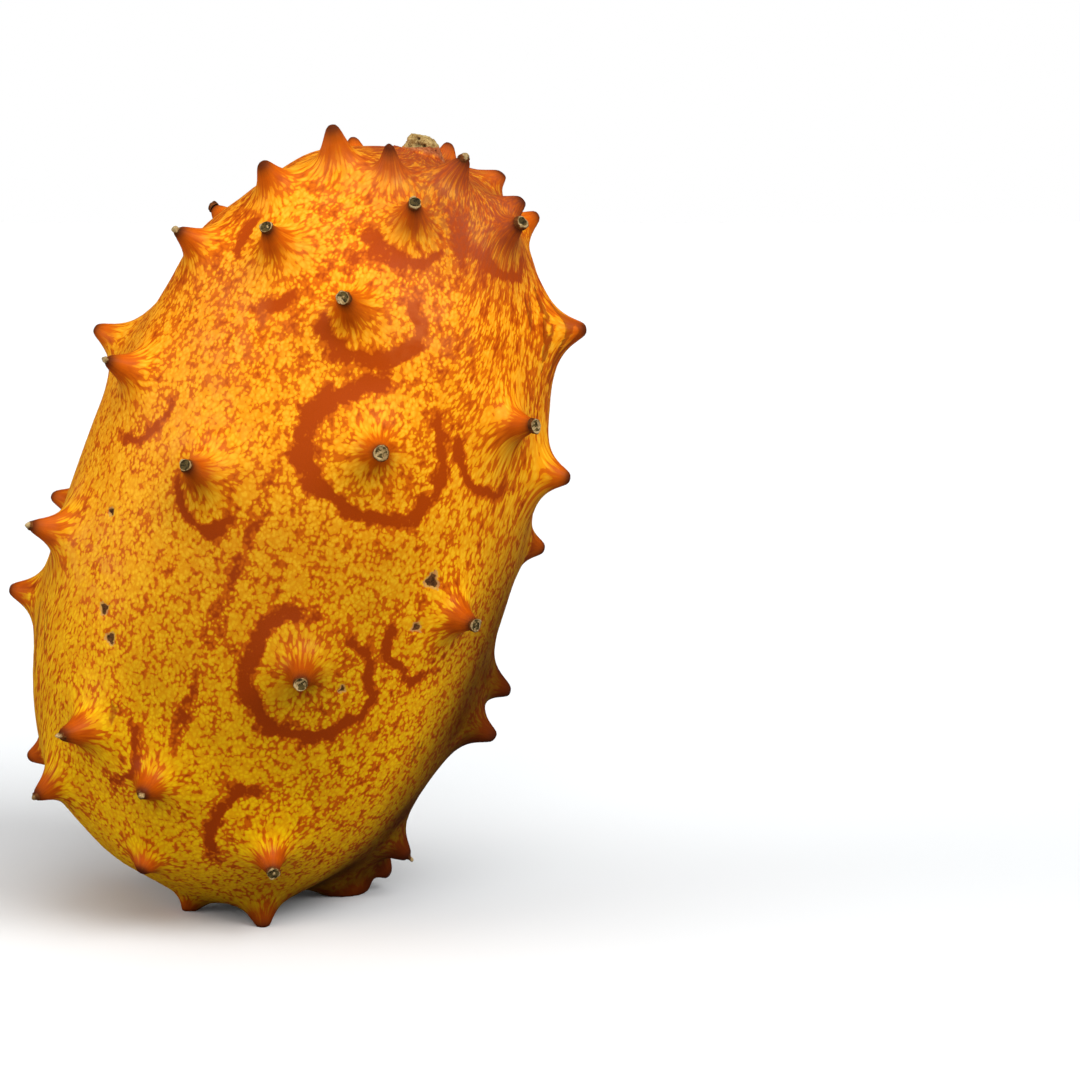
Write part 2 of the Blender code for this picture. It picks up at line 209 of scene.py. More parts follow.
HORNS = (
    # Seat of the stub: a shoulder with no spine, and the ring of horns round it
    Horn(0, 57.3, 0.0, blunt=4.4),
    Horn(-10, 53.5, 4.5, -1.0, 0.0, 0.75, 0.8),
    Horn(24, 55, 4.5, 0.5, -0.5, 1.2, tip="thorn"),
    Horn(100, 56, 3.0, 0.0, -1.5, 1.4),
    Horn(159, 56, 4.0, 1.0, 0.0, 1.0),
    Horn(-150, 52, 5.0, 1.0, 0.0, 1.2),
    Horn(-38, 52.5, 6.0, 0.0, 0.0, 1.2),
    # Front rib
    Horn(7, 48.5, 5.5, -1.0, -1.0, 1.2, tip="disc"),
    Horn(-2, 35, 6.0, -1.5, -0.5, 1.2, tip="disc"),
    Horn(14, 18, 6.0, -0.5, 0.0, 1.25, tip="disc"),
    Horn(14, -14, 6.0, -1.0, -0.5, 1.25, tip="disc"),
    Horn(-13, -37, 5.0, 0.5, 1.0, 1.2, tip="thorn"),
    Horn(26, -42.5, 4.5, -0.5, 1.0, 1.2, tip="disc"),
    # Front right rib
    Horn(57, 53, 4.0, -0.5, -1.0, 1.3),
    Horn(48, 50, 4.5, -1.0, -0.5, 1.3, tip="disc"),
    Horn(52, 26, 5.0, -1.0, 0.5, 1.25, tip="disc"),
    Horn(49, -2, 5.0, -1.0, 0.5, 1.25, tip="disc"),
    # Right rib
    Horn(117, 51, 4.5, 0.5, 0.0, 1.2),
    Horn(80, 39.5, 5.0, 0.0, 0.0, 2.0),
    Horn(75, 20, 4.5, -0.5, 0.0, 1.7),
    Horn(103, 7, 3.5, 0.5, 0.0, 1.3),
    Horn(98, -14, 4.5, 0.0, -0.5, 1.5),
    Horn(89, -20.5, 4.5, 0.0, 0.0, 1.5),
    Horn(92, -41, 4.0, 0.5, 0.0, 1.4, tip="thorn"),
    Horn(104, -44, 4.5, 0.5, -0.5, 1.2),
    # Front left rib
    Horn(-31, 39.5, 5.5, 0.5, 0.0, 1.2, tip="disc"),
    Horn(-23, 7, 6.0, 0.0, 1.0, 1.3, tip="disc"),
    Horn(-35, -33.5, 5.5, 0.0, 0.5, 1.25, tip="thorn"),
    # Left rib
    Horn(-50, 46.5, 5.0, 0.5, 0.0, 1.4),
    Horn(-60, 35.5, 5.0, 1.0, -0.5, 1.3, tip="thorn"),
    Horn(-57, 16, 5.5, 1.0, 0.0, 1.3, tip="thorn"),
    Horn(-95, 17, 5.0, 0.0, 0.0, 1.6),
    Horn(-65, -10, 5.0, 0.5, 0.0, 1.3, tip="thorn"),
    Horn(-96, -23.5, 5.0, -0.5, 0.0, 1.6),
    Horn(-100, -46, 4.0, -0.5, 0.0, 1.4),
    Horn(-52, -44.5, 4.0, 0.5, -0.5, 1.2, tip="thorn"),
    # Back left rib
    Horn(-119, 38, 4.5, -0.5, -0.5, 1.2, tip="disc"),
    Horn(-109, -9.5, 5.0, 0.0, -0.5, 1.3),
    Horn(-143, 22, 5.5, 1.0, 0.5, 1.3, tip="disc"),
    Horn(-138, 1, 5.5, 0.0, -0.5, 1.25, tip="disc"),
    Horn(-142, -21, 5.5, -1.0, 0.5, 1.3),
    Horn(-135, -41, 4.5, 0.0, 0.5, 1.2, tip="thorn"),
    # Back rib
    Horn(-172, 33, 5.5, -1.0, 0.0, 1.25, tip="disc"),
    Horn(-168, 11, 6.0, 0.5, 1.0, 1.25, tip="disc"),
    Horn(-173, -12, 5.5, 1.0, -0.5, 1.3),
    Horn(-168, -33, 5.5, 0.0, 1.0, 1.2, tip="disc"),
    Horn(158, 42, 5.0, 0.0, -1.0, 1.2, tip="thorn"),
    Horn(163, 22, 6.0, -1.0, 0.0, 1.25),
    Horn(158, 0, 5.5, 1.0, 0.5, 1.3, tip="disc"),
    Horn(162, -22, 5.5, 0.0, -0.5, 1.25, tip="disc"),
    Horn(156, -41, 4.5, 0.0, 0.5, 1.2),
    # Back right rib
    Horn(131, 37, 5.5, 1.0, 0.0, 1.25, tip="disc"),
    Horn(129, 14, 5.5, -1.0, 0.5, 1.3),
    Horn(133, -9, 5.5, 0.0, 0.0, 1.25, tip="disc"),
    Horn(128, -31, 5.0, 1.0, 0.5, 1.3, tip="thorn"),
    # Feet and the small horn beside them, at the blossom end
    Horn(35, -57, 3.0, 0.0, -1.0, 1.2),
    Horn(48, -53, 4.0, -0.5, 0.5, 1.4),
    Horn(104, -49, 5.0, 0.0, 0.0, 2.2, 3.0),
    Horn(-12, -50, 2.5, 0.5, 1.0, 1.0),
    Horn(-150, -55, 4.5, 0.0, 0.5, 1.2),
)

# Broad, shallow hollows between the horns: bearing in degrees, then station, depth and reach
HOLLOWS = (
    (-92, 46, 1.4, 12), (-88, 27, 1.2, 13), (-90, -53, 2.2, 14),
)

HALOS = (
    Halo(16, 18, 9.7, 3.1, 70, 0.05, 195),
    Halo(17, -15.3, 8.9, 2.5, 90, 0.06, 190),
    Halo(3, 35, 6.3, 2.5, 125, 0.36, 300),
    Halo(-20, 5, 4.7, 1.4, 75, 0.45),
    Halo(-31, 39.5, 6.8, 1.9, 5, 0.76, 180),
    Halo(-31, 39.5, 8.0, 1.9, 120, 0.82, 300),
    Halo(7, 48.5, 5.8, 2.2, 90, 0.55, 230),
    Halo(48, 50, 5.6, 1.9, 90, 0.55, 250),
    Halo(50, 24, 7.6, 1.1, 60, 0.62),
    Halo(46, -4, 7.6, 1.3, 50, 0.66),
    Halo(24, -41, 8.4, 1.7, -5, 0.66, 180),
    Halo(-32, -33.5, 7.0, 1.4, 165, 0.66),
    Halo(-53, 14, 7.0, 1.4, 140, 0.66),
    Halo(-143, 22, 8.8, 2.4, 70, 0.30),
    Halo(-138, 1, 9.2, 2.0, 120, 0.40),
    Halo(-172, 33, 8.0, 2.2, 40, 0.45),
    Halo(-168, 11, 9.6, 2.8, 95, 0.22),
    Halo(-168, -33, 8.4, 2.0, 60, 0.40),
    Halo(158, 0, 9.4, 2.6, 80, 0.25),
    Halo(162, -22, 8.0, 2.0, 130, 0.45),
    Halo(131, 37, 8.2, 2.2, 60, 0.50),
    Halo(129, 14, 8.8, 2.0, 100, 0.40),
    Halo(133, -9, 9.0, 2.4, 70, 0.30),
)


class Streak(NamedTuple):
    """A long band of rust from one place to another."""
    bearing: float
    station: float
    to_bearing: float
    to_station: float
    width: float
    strength: float = 1.0


STREAKS = (
    # Front
    Streak(-10, -35, -7, 19, 2.3, 0.8),
    Streak(23, 55, 32, 41, 2.2),
    Streak(-24, 32, -15, 41, 1.5, 0.9),
    Streak(-47, 34, -47, 42, 1.3, 0.9),
    Streak(39, -26, 42, -10, 1.4, 0.75),
    Streak(33, 24, 38, 38, 1.6, 0.55),
    # Thin dark lines down both sides
    Streak(62, 46, 60, 12, 0.7, 0.85),
    Streak(69, 48, 66, 6, 0.7, 0.85),
    Streak(78, 33, 73, -8, 0.8, 0.8),
    Streak(-78, -4, -72, -34, 0.7, 0.8),
    Streak(-70, -16, -65, -38, 0.6, 0.75),
    Streak(-74, 22, -72, 15, 1.2, 0.95),
    # Back
    Streak(178, 24, 165, -22, 2.4),
    Streak(-120, 30, -128, -12, 2.2, 0.95),
    Streak(104, 30, 96, -6, 1.9, 0.9),
    Streak(140, 32, 146, 4, 1.8, 0.95),
    Streak(-155, 8, -150, -34, 2.0, 0.95),
)

# Fine dark creases
CREASES = (
    Streak(78, 51, 75, 24, 1.1),
    Streak(71, 50, 68, 24, 1.1),
    Streak(63, 48, 61, 31, 1.1, 0.85),
    Streak(-79, -16, -70, -37, 1.3, 0.9),
    Streak(-68, -18, -60, -35, 1.2, 0.8),
    Streak(-29, -24, -27, -37, 1.0, 0.8),
    Streak(-76, 21.5, -66, 18, 1.8, 0.9),
    Streak(57, -18, 60, -38, 1.3, 0.8),
    Streak(-45, 37, -54, 21, 1.2, 0.7),
    Streak(-38, 44, -60, 50, 1.3, 0.6),
    Streak(-112, 26, -104, -4, 1.3, 0.8),
    Streak(146, 44, 150, 28, 1.3, 0.8),
    Streak(-124, -22, -116, -40, 1.3, 0.8),
    Streak(112, -26, 118, -44, 1.3, 0.8),
)

# Places with a painted sheen, a pale pink over the rind: bearing, station and reach
PAINTED_SHEEN_SPOTS = (
    (-30, 14, 9), (-72, -7, 8), (20, 37, 7), (-32, 27, 8), (-49, -11, 8), (-21, 50, 8),
    (150, 16, 9), (-140, 30, 8), (-165, -4, 8),
)

# Dry pits and scars: bearing, station and reach
SCABS = (
    (25.5, -15.5, 0.6), (39.5, 2.5, 1.2), (39, -4.5, 0.7), (-39.5, -16.5, 0.9), (-35, -20, 0.9),
    (-47.5, -3.5, 0.6), (150, 30, 0.8), (-150, -15, 0.7), (117, -20, 0.9), (-104, 4, 0.6),
)


class Patch(NamedTuple):
    """A soft patch of the fruit's side, which starts at its edge and is full at its core."""
    bearing: float
    edge: float  # as the cosine of how far it is round the fruit from that bearing
    core: float
    edge_station: float | None = None
    core_station: float | None = None
    about: float | None = None  # the station from which those two count, both ways
    strength: float = 1.0


SHORT_BLOTS = (Patch(82, 0.55, 1.0, -5, 25), Patch(-88, 0.75, 1.0, 5, -20))
SPARSE_RUST = Patch(-38, 0.2, 1.0, 45, 15, -10)
WRINKLED_SIDES = (Patch(75, 0.6, 1.0, strength=0.8), Patch(-80, 0.7, 1.0, strength=0.8))
# Painted shade: darker patches low on the right side, at the blossom end and, fainter, low on the front
PAINTED_SHADE_PATCHES = (
    Patch(108, 0.52, 0.88, 24, -12, strength=0.96),
    Patch(108, -0.3, 0.7, -42, -55, strength=0.96),
    Patch(4, 0.7, 0.97, 30, 10, -12, 0.32),
)


def meridian():
    """The body's outline from the stalk to the blossom end, with what is measured along it."""
    angle = np.linspace(0.0, math.pi, MERIDIAN_STEPS)
    across, down = np.sin(angle), np.cos(angle)
    size = (np.abs(across) ** FULLNESS + np.abs(down) ** FULLNESS) ** (1.0 / FULLNESS)
    station = HALF_LENGTH * down / size
    radius = HALF_WIDTH * across / size * (1.0 - TAPER * station / HALF_LENGTH)
    step = np.hypot(np.diff(radius), np.diff(station))
    mean_radius = (radius[1:] + radius[:-1]) / 2.0
    turned = np.concatenate(([0.0], np.cumsum(step / mean_radius)))
    return {
        "angle": angle,
        "radius": radius,
        "station": station,
        "ray": np.arctan2(radius / HALF_WIDTH, station / HALF_LENGTH),
        "area": np.concatenate(([0.0], np.cumsum(FULL_TURN * mean_radius * step))),
        "chart": np.interp(math.pi / 2.0, angle, turned) - turned,
    }


OUTLINE = meridian()


def outline(name, angle):
    """What the outline measures at an angle."""
    return np.interp(angle, OUTLINE["angle"], OUTLINE[name])


def body_point(angle, bearing):
    """Points of the smooth body, in the fruit's own axes."""
    radius = outline("radius", angle)
    return np.stack((radius * np.sin(bearing), -radius * np.cos(bearing), outline("station", angle)), axis=-1)


def body_normal(angle, bearing):
    """Outward normals of the smooth body."""
    near = math.pi / MERIDIAN_STEPS
    before, after = np.clip(angle - near, 0.0, math.pi), np.clip(angle + near, 0.0, math.pi)
    out, up = (outline(name, after) - outline(name, before) for name in ("radius", "station"))
    outward, upward = -up / np.hypot(out, up), out / np.hypot(out, up)
    return np.stack((outward * np.sin(bearing), -outward * np.cos(bearing), upward), axis=-1)


def on_body(points):
    """The angle and the bearing of the body's points under points near it."""
    reach = np.hypot(points[..., 0], points[..., 1])
    ray = np.arctan2(reach / HALF_WIDTH, points[..., 2] / HALF_LENGTH)
    angle = np.interp(ray, OUTLINE["ray"], OUTLINE["angle"])
    return angle, np.arctan2(points[..., 0], -points[..., 1])


def place(degrees, station):
    """A place on the body, and its outward, round-about and along directions."""
    angle = np.interp(-station * MM, -OUTLINE["station"], OUTLINE["angle"])
    bearing = np.float64(math.radians(degrees))
    outward = body_normal(angle, bearing)
    around = np.array((math.cos(bearing), math.sin(bearing), 0.0))
    return body_point(angle, bearing), outward, around, np.cross(outward, around)


def ring_sizes(horn):
    """The radius and the number of points of each ring about a horn's root."""
    tip = TIP_RADIUS * horn.blunt
    last = tip + RING_REACH * horn.flare * MM
    rings, radius, step = [], RING_STEP, RING_STEP
    while radius < last:
        rings.append((radius, max(RING_LEAST, round(FULL_TURN * radius / step))))
        if radius > tip:
            step *= RING_GROWTH
        radius += step
    return rings


def spread_points():
    """Where the skin has its points: rings about each horn, an even spiral between them and the two ends.

    The seat's root is the stalk's end itself, so it is left to the ends.
    """
    roots = np.array([place(horn.bearing, horn.station)[0] for horn in HORNS])
    reaches = np.array([ring_sizes(horn)[-1][0] for horn in HORNS])
    turn = np.arange(FILL_POINTS) + 0.5
    spiral = body_point(np.interp(turn / FILL_POINTS * OUTLINE["area"][-1],
                                  OUTLINE["area"], OUTLINE["angle"]), turn * GOLDEN_ANGLE)
    clear = np.linalg.norm(spiral[:, None] - roots, axis=2) - reaches
    groups = [spiral[clear.min(axis=1) > 2.0 * POINT_GAP]]
    for index, horn in enumerate(HORNS):
        root, _, around, along = place(horn.bearing, horn.station)
        if horn.station < STALK_END:
            groups.append(root[None])
        for ring, (radius, count) in enumerate(ring_sizes(horn)):
            turns = np.arange(count) * FULL_TURN / count + ring * RING_TURN
            circle = root + radius * (np.outer(np.cos(turns), around) + np.outer(np.sin(turns), along))
            circle = body_point(*on_body(circle))
            away = np.linalg.norm(circle[:, None] - roots, axis=2)
            own = away[:, index].copy()
            away[:, index] = np.inf
            groups.append(circle[away.min(axis=1) - own > POINT_GAP])
    return np.concatenate(groups + [np.array([[0.0, 0.0, -HALF_LENGTH], [0.0, 0.0, HALF_LENGTH]])])


def skin_faces(angle, bearing):
    """Triangles over the body's points, the last of which is the stalk's end.

    The points are laid out on a plane chart of the body that keeps small circles round, with the
    blossom end at its centre, and are joined there. What is left open is drawn up to the last point.
    """
    reach = np.exp(outline("chart", angle[:-1]))
    chart = np.stack((reach * np.cos(bearing[:-1]), reach * np.sin(bearing[:-1])), axis=1)
    joined = delaunay_2d_cdt(chart.tolist(), [], [], 0, CHART_MERGE, False)[2]
    faces = [tuple(reversed(face)) for face in joined]
    edges = {(face[i], face[(i + 1) % 3]) for face in faces for i in range(3)}
    last = len(angle) - 1
    return faces + [(b, a, last) for a, b in sorted(edges) if (b, a) not in edges]


def ramp(value, low, high):
    """A smooth rise from 0 at low to 1 at high, or a fall where low is the larger."""
    share = np.clip((value - low) / (high - low), 0.0, 1.0)
    return share * share * (3.0 - 2.0 * share)


def wavy(turn, waves):
    """A factor about 1 that goes in and out round a circle: how many times, how far and from where."""
    return 1.0 + sum(size * np.cos(count * turn + start) for count, size, start in waves)


def fractal(points, size):
    """Smooth noise about 0 at each of a list of points, with features of a size in metres."""
    return np.array([noise.fractal(Vector(point) / size, 1.0, 2.0, 3) for point in points])


def angle_apart(one, other):
    """The unsigned angle between two directions, at most half a turn."""
    return np.abs(np.angle(np.exp(1j * (one - other))))


def stand(points):
    """Points in the fruit's own axes, leant over and raised to where the fruit stands."""
    lean = np.array(((math.cos(LEAN), 0.0, math.sin(LEAN)),
                     (0.0, 1.0, 0.0),
                     (-math.sin(LEAN), 0.0, math.cos(LEAN))))
    return points @ lean.T + np.array((0.0, 0.0, MIDDLE_HEIGHT))


def growing_part(horn):
    """How far out a horn's tip is drawn, as a vector in the fruit's own axes."""
    _, outward, around, along = place(horn.bearing, horn.station)
    return (horn.height * outward + horn.around * around + horn.along * along) * MM


def from_root(points, normals, degrees, station):
    """How far points lie from a root, in which direction round it, and which are on its side."""
    root, outward, around, along = place(degrees, station)
    offset = points - root
    across, up = offset @ around, offset @ along
    away = np.linalg.norm(offset - np.outer(offset @ outward, outward), axis=1)
    return away, np.arctan2(up, across), normals @ outward > 0.0


def patch_mark(points, bearing, patch):
    """How far into a patch each point is, up to the patch's strength."""
    mark = patch.strength * ramp(np.cos(bearing - math.radians(patch.bearing)), patch.edge, patch.core)
    if patch.edge_station is None:
        return mark
    station = points[:, 2] if patch.about is None else np.abs(points[:, 2] - patch.about * MM)
    return mark * ramp(station, patch.edge_station * MM, patch.core_station * MM)


def mottling_places(points, normals, bearing):
    """Where each point looks up the mottling, which every horn and both ends draw in towards them."""
    side = sum(patch_mark(points, bearing, patch) for patch in SHORT_BLOTS)
    places = points.copy()
    places[:, 2] *= FRONT_STRETCH + (SIDE_STRETCH - FRONT_STRETCH) * side
    middles = [(horn.bearing, horn.station, STREAK_REACH) for horn in HORNS if horn.height > 0.0]
    middles += [(0.0, STALK_END, STALK_REACH), (0.0, -STALK_END, BLOSSOM_REACH)]
    for degrees, station, reach in middles:
        away, turn, this_side = from_root(points, normals, degrees, station)
        _, _, around, along = place(degrees, station)
        outwards = np.outer(np.cos(turn), around) + np.outer(np.sin(turn), along)
        pull = STREAK_PULL * reach * np.maximum(1.0 - away / reach, 0.0) ** 2
        places += outwards * (pull * this_side)[:, None]
    return places


def horn_marks(points, normals):
    """The solid colour up each horn, the dark end of it and the pale patch about it, from 0 to 1."""
    marks = np.zeros((3, len(points)))
    for horn in HORNS:
        if horn.height > 0.0:
            away, _, this_side = from_root(points, normals, horn.bearing, horn.station)
            tip = TIP_RADIUS * horn.blunt
            marks = np.maximum(marks, this_side * np.stack((ramp(away, tip + FLANK_REACH, tip + FLANK_CORE),
                                                            ramp(away, tip + BURNT_REACH, tip * BURNT_CORE),
                                                            ramp(away, PALE_REACH, tip + FLANK_REACH))))
    return marks


def halo_marks(points, normals):
    """The rust rings about the horns, and the pale patches inside them, from 0 to 1."""
    ring, inside = np.zeros(len(points)), np.zeros(len(points))
    ragged = RING_RAGGED * fractal(points, RING_RAG_SIZE)
    for halo in HALOS:
        away, turn, this_side = from_root(points, normals, halo.bearing, halo.station)
        starts = (halo.bearing, halo.station, halo.bearing)
        away = away * wavy(turn, [(*wave, start) for wave, start in zip(RING_WAVES, starts)]) + ragged
        edge = min(RING_EDGE, RING_EDGE_MOST * halo.width * MM)
        inner, outer = (halo.radius - halo.width / 2.0) * MM, (halo.radius + halo.width / 2.0) * MM
        outer = outer * (1.0 + RING_LEAN * np.cos(turn - math.radians(halo.heavy_at)))
        band = ramp(away, inner - edge, inner + edge) * ramp(away, outer + RING_FRINGE, outer - edge)
        gap = math.pi * halo.open_share
        band *= ramp(angle_apart(turn, math.radians(halo.open_at)), gap - RING_FADE, gap + RING_FADE)
        ring = np.maximum(ring, band * this_side)
        inside = np.maximum(inside, this_side * ramp(away, inner + RING_EDGE, inner - RING_EDGE))
    return ring, inside


def streak_marks(points, bearing, streaks):
    """Long bands, from 0 to 1."""
    marks = np.zeros(len(points))
    radius, station = np.hypot(points[:, 0], points[:, 1]), points[:, 2]
    for streak in streaks:
        low, high = sorted(((streak.station, streak.bearing), (streak.to_station, streak.to_bearing)))
        share = np.clip((station - low[0] * MM) / ((high[0] - low[0]) * MM), 0.0, 1.0)
        middle = np.radians(low[1] + (high[1] - low[1]) * share)
        off = angle_apart(bearing, middle) * radius
        off += STREAK_WAVE * np.sin(station / STREAK_WAVELENGTH + streak.bearing)
        swell = 1.0 + STREAK_SWELL * np.sin(station / STREAK_SWELL_LENGTH + streak.station)
        beyond = np.maximum(low[0] * MM - station, station - high[0] * MM)
        mark = ramp(np.abs(off), streak.width * MM * swell, 0.0) * ramp(beyond, 0.0, -STREAK_END)
        marks = np.maximum(marks, streak.strength * mark)
    return marks


def spot_marks(points, normals, spots, uneven):
    """Lobed spots at a list of places, from 0 to 1."""
    marks = np.zeros(len(points))
    for degrees, station, reach in spots:
        away, turn, this_side = from_root(points, normals, degrees, station)
        reach = reach * MM * wavy(turn, ((SPOT_LOBES, uneven, degrees),))
        marks = np.maximum(marks, this_side * ramp(away, SPOT_EDGE * reach, SPOT_CORE * reach))
    return marks


def skin_marks(points, normals, bearing):
    """What the rind's material reads, point by point over the smooth body, each from 0 to 1.

    rust is how much of the mottling is rust, flank is the solid colour up a horn, burnt is its dark
    end, warm is how orange the ground is, flush is a painted pink sheen, scab is a dark dry mark,
    crease is a fine dark fold, browned is painted shade, darkest low on the right side and at the
    blossom end and fainter low on the front, and crown is the brown about the stalk.
    """
    flank, burnt, pale = horn_marks(points, normals)
    ring, inside = halo_marks(points, normals)
    station = points[:, 2]
    rust = (RUST_SHARE - SPARSE_LOSS * patch_mark(points, bearing, SPARSE_RUST)
            - BLOSSOM_LOSS * ramp(station, *BLOSSOM_BAND) + SHOULDER_GAIN * ramp(station, *SHOULDER_BAND))
    pale = np.maximum(pale, inside)
    rust = rust * (1.0 - pale) + NEAR_HORN * pale
    about_stalk = ramp(from_root(points, normals, *CROWN_MIDDLE)[0], CROWN_REACH, CROWN_CORE)
    return {
        "rust": np.maximum.reduce((rust, ring, streak_marks(points, bearing, STREAKS), FLANK_RUST * flank,
                                   CROWN_RUST * ramp(station, *CROWN_RUST_BAND))),
        "flank": flank,
        "burnt": burnt,
        "warm": ramp(stand(points)[:, 2], *WARM_BAND),
        "painted_sheen": spot_marks(points, normals, PAINTED_SHEEN_SPOTS, PAINTED_SHEEN_UNEVEN),
        "scab": spot_marks(points, normals, SCABS, SCAB_UNEVEN),
        "crease": streak_marks(points, bearing, CREASES),
        "painted_shade": np.maximum.reduce([patch_mark(points, bearing, patch) for patch in PAINTED_SHADE_PATCHES]),
        "crown": np.maximum(about_stalk * (station > 0.0), ramp(station, *CROWN_TOP)),
    }


def arithmetic(operation, swapped=False):
    """A method that works out something from a signal and another value."""
    def work(signal, other):
        return signal.wiring.math(operation, *((other, signal) if swapped else (signal, other)))
    return work


class Signal:
    """What comes out of a node. Its operators and methods add the nodes that do their work."""

    def __init__(self, wiring, socket):
        self.wiring, self.socket = wiring, socket

    __add__ = arithmetic("ADD")
    __sub__ = arithmetic("SUBTRACT")
    __rsub__ = arithmetic("SUBTRACT", swapped=True)
    __mul__ = arithmetic("MULTIPLY")
    __truediv__ = arithmetic("DIVIDE")
    __pow__ = arithmetic("POWER")

    def scaled(self, factor):
        """A vector made longer or shorter."""
        given = {"Vector": self, "Scale": factor}
        return self.wiring.add("ShaderNodeVectorMath", given, operation="SCALE")[0]

    def split(self):
        """A vector's X, Y and Z."""
        return self.wiring.add("ShaderNodeSeparateXYZ", {0: self})

    def step(self, low, high, to_low=0.0, to_high=1.0):
        """A smooth step of a value between two limits."""
        given = {"Value": self, "From Min": low, "From Max": high, "To Min": to_low, "To Max": to_high}
        return self.wiring.add("ShaderNodeMapRange", given, interpolation_type="SMOOTHSTEP")[0]

    def switch(self, off, on):
        """One value or the other, by a signal that is 0 or 1."""
        return self.wiring.add("ShaderNodeMapRange", {"Value": self, "To Min": off, "To Max": on})[0]

    def mix(self, one, other):
        """A colour that goes from one to the other."""
        return self.wiring.add("ShaderNodeMix", {0: self, 6: one, 7: other}, data_type="RGBA")[2]

    def blend(self, one, other):
        """A value that goes from one to the other."""
        return self.wiring.add("ShaderNodeMix", {0: self, 2: one, 3: other})[0]

    def noise(self, size, detail=1.0, roughness=0.5, output=0):
        """Smooth noise over a place, with features of a size in metres, about a middle of one half."""
        given = {"Vector": self, "Scale": 1.0 / size, "Detail": detail, "Roughness": roughness}
        return self.wiring.add("ShaderNodeTexNoise", given)[output]

    def relief(self, depth, strength):
        """A normal with a relief of a depth in metres."""
        given = {"Height": self, "Distance": depth, "Strength": strength}
        return self.wiring.add("ShaderNodeBump", given)[0]


class Node:
    """A node whose outputs are signals, by name or number."""

    def __init__(self, wiring, made):
        self.wiring, self.made = wiring, made

    def __getitem__(self, output):
        return Signal(self.wiring, self.made.outputs[output])

    def take(self, given):
        """Give each of the node's sockets its signal or its value."""
        for socket, value in dict(given).items():
            if isinstance(value, Signal):
                self.wiring.tree.links.new(value.socket, self.made.inputs[socket])
            else:
                self.made.inputs[socket].default_value = value


class Wiring:
    """A node tree under construction."""

    def __init__(self, tree):
        self.tree = tree

    def add(self, kind, given=(), **settings):
        """A node with its settings and with what its sockets take."""
        node = Node(self, self.tree.nodes.new(kind))
        for name, value in settings.items():
            setattr(node.made, name, value)
        node.take(given)
        return node

    def math(self, operation, *values, clamp=False):
        """A number worked out from numbers, or a vector or a number from vectors."""
        kinds = {value.socket.type for value in values if isinstance(value, Signal)}
        if kinds & {"VECTOR", "RGBA"}:
            node = self.add("ShaderNodeVectorMath", enumerate(values), operation=operation)
            return node["Value" if operation in ("LENGTH", "DOT_PRODUCT") else "Vector"]
        return self.add("ShaderNodeMath", enumerate(values), operation=operation, use_clamp=clamp)[0]

    def vector(self, x, y, z):
        return self.add("ShaderNodeCombineXYZ", {"X": x, "Y": y, "Z": z})[0]

    def named(self, name, kind="FLOAT"):
        """An attribute of the geometry that a geometry tree works on."""
        return self.add("GeometryNodeInputNamedAttribute", {"Name": name}, data_type=kind)[0]

    def attribute(self, name, output="Fac"):
        """An attribute of the piece that a material is on."""
        return self.add("ShaderNodeAttribute", attribute_name=name)[output]

    def stored(self, geometry, name, value):
        """The geometry with an attribute of that name."""
        given = {"Geometry": geometry, "Name": name, "Value": value}
        return self.add("GeometryNodeStoreNamedAttribute", given, data_type="FLOAT")[0]

    def moved(self, geometry, **given):
        """The geometry with its points set by what is given."""
        return self.add("GeometryNodeSetPosition", {"Geometry": geometry, **given})[0]

    def finished(self, geometry, material):
        """The geometry as one smooth mesh in its material."""
        for kind in ("GeometryNodeSetShadeSmooth", "GeometryNodeRealizeInstances"):
            geometry = self.add(kind, {"Geometry": geometry})[0]
        return self.add("GeometryNodeSetMaterial", {"Geometry": geometry, "Material": material})[0]


SOCKET_KINDS = {float: "Float", int: "Int", tuple: "Color"}


def new_tree(name, kind, inputs, outputs):
    """The wiring of a new tree and its two ends. Each socket is given by its default or its kind."""
    tree = bpy.data.node_groups.new(name, kind)
    for direction, sockets in (("INPUT", inputs), ("OUTPUT", outputs)):
        for label, default in sockets.items():
            socket_kind = SOCKET_KINDS.get(type(default), default)
            made = tree.interface.new_socket(label, in_out=direction, socket_type=f"NodeSocket{socket_kind}")
            if socket_kind != default:
                made.default_value = default
    wiring = Wiring(tree)
    return wiring, wiring.add("NodeGroupInput"), wiring.add("NodeGroupOutput")


def new_object(name, data):
    made = bpy.data.objects.new(name, data)
    bpy.context.collection.objects.link(made)
    return made


def grow(name, mesh, tree, inputs):
    """A plain mesh object made by running a geometry tree over a mesh with the inputs given by name."""
    source = new_object(name + "_source", mesh)
    modifier = source.modifiers.new(name, "NODES")
    modifier.node_group = tree
    for item in tree.interface.items_tree:
        if item.in_out == "INPUT" and item.name in inputs:
            modifier[item.identifier] = inputs[item.name]
    evaluated = source.evaluated_get(bpy.context.evaluated_depsgraph_get())
    grown = bpy.data.meshes.new_from_object(evaluated)
    grown.name = name
    bpy.data.objects.remove(source, do_unlink=True)
    return new_object(name, grown)


def add_attributes(mesh, attributes):
    """Numbers or vectors, one for each point of a mesh, under their names."""
    for name, values in attributes.items():
        values = np.asarray(values, dtype=np.float32)
        kind, field = ("FLOAT_VECTOR", "vector") if values.ndim == 2 else ("FLOAT", "value")
        mesh.attributes.new(name, kind, "POINT").data.foreach_set(field, values.ravel())


def points_mesh(name, points, attributes):
    """A mesh of loose points that a geometry tree reads."""
    mesh = bpy.data.meshes.new(name)
    mesh.from_pydata([tuple(point) for point in points], [], [])
    add_attributes(mesh, attributes)
    return mesh


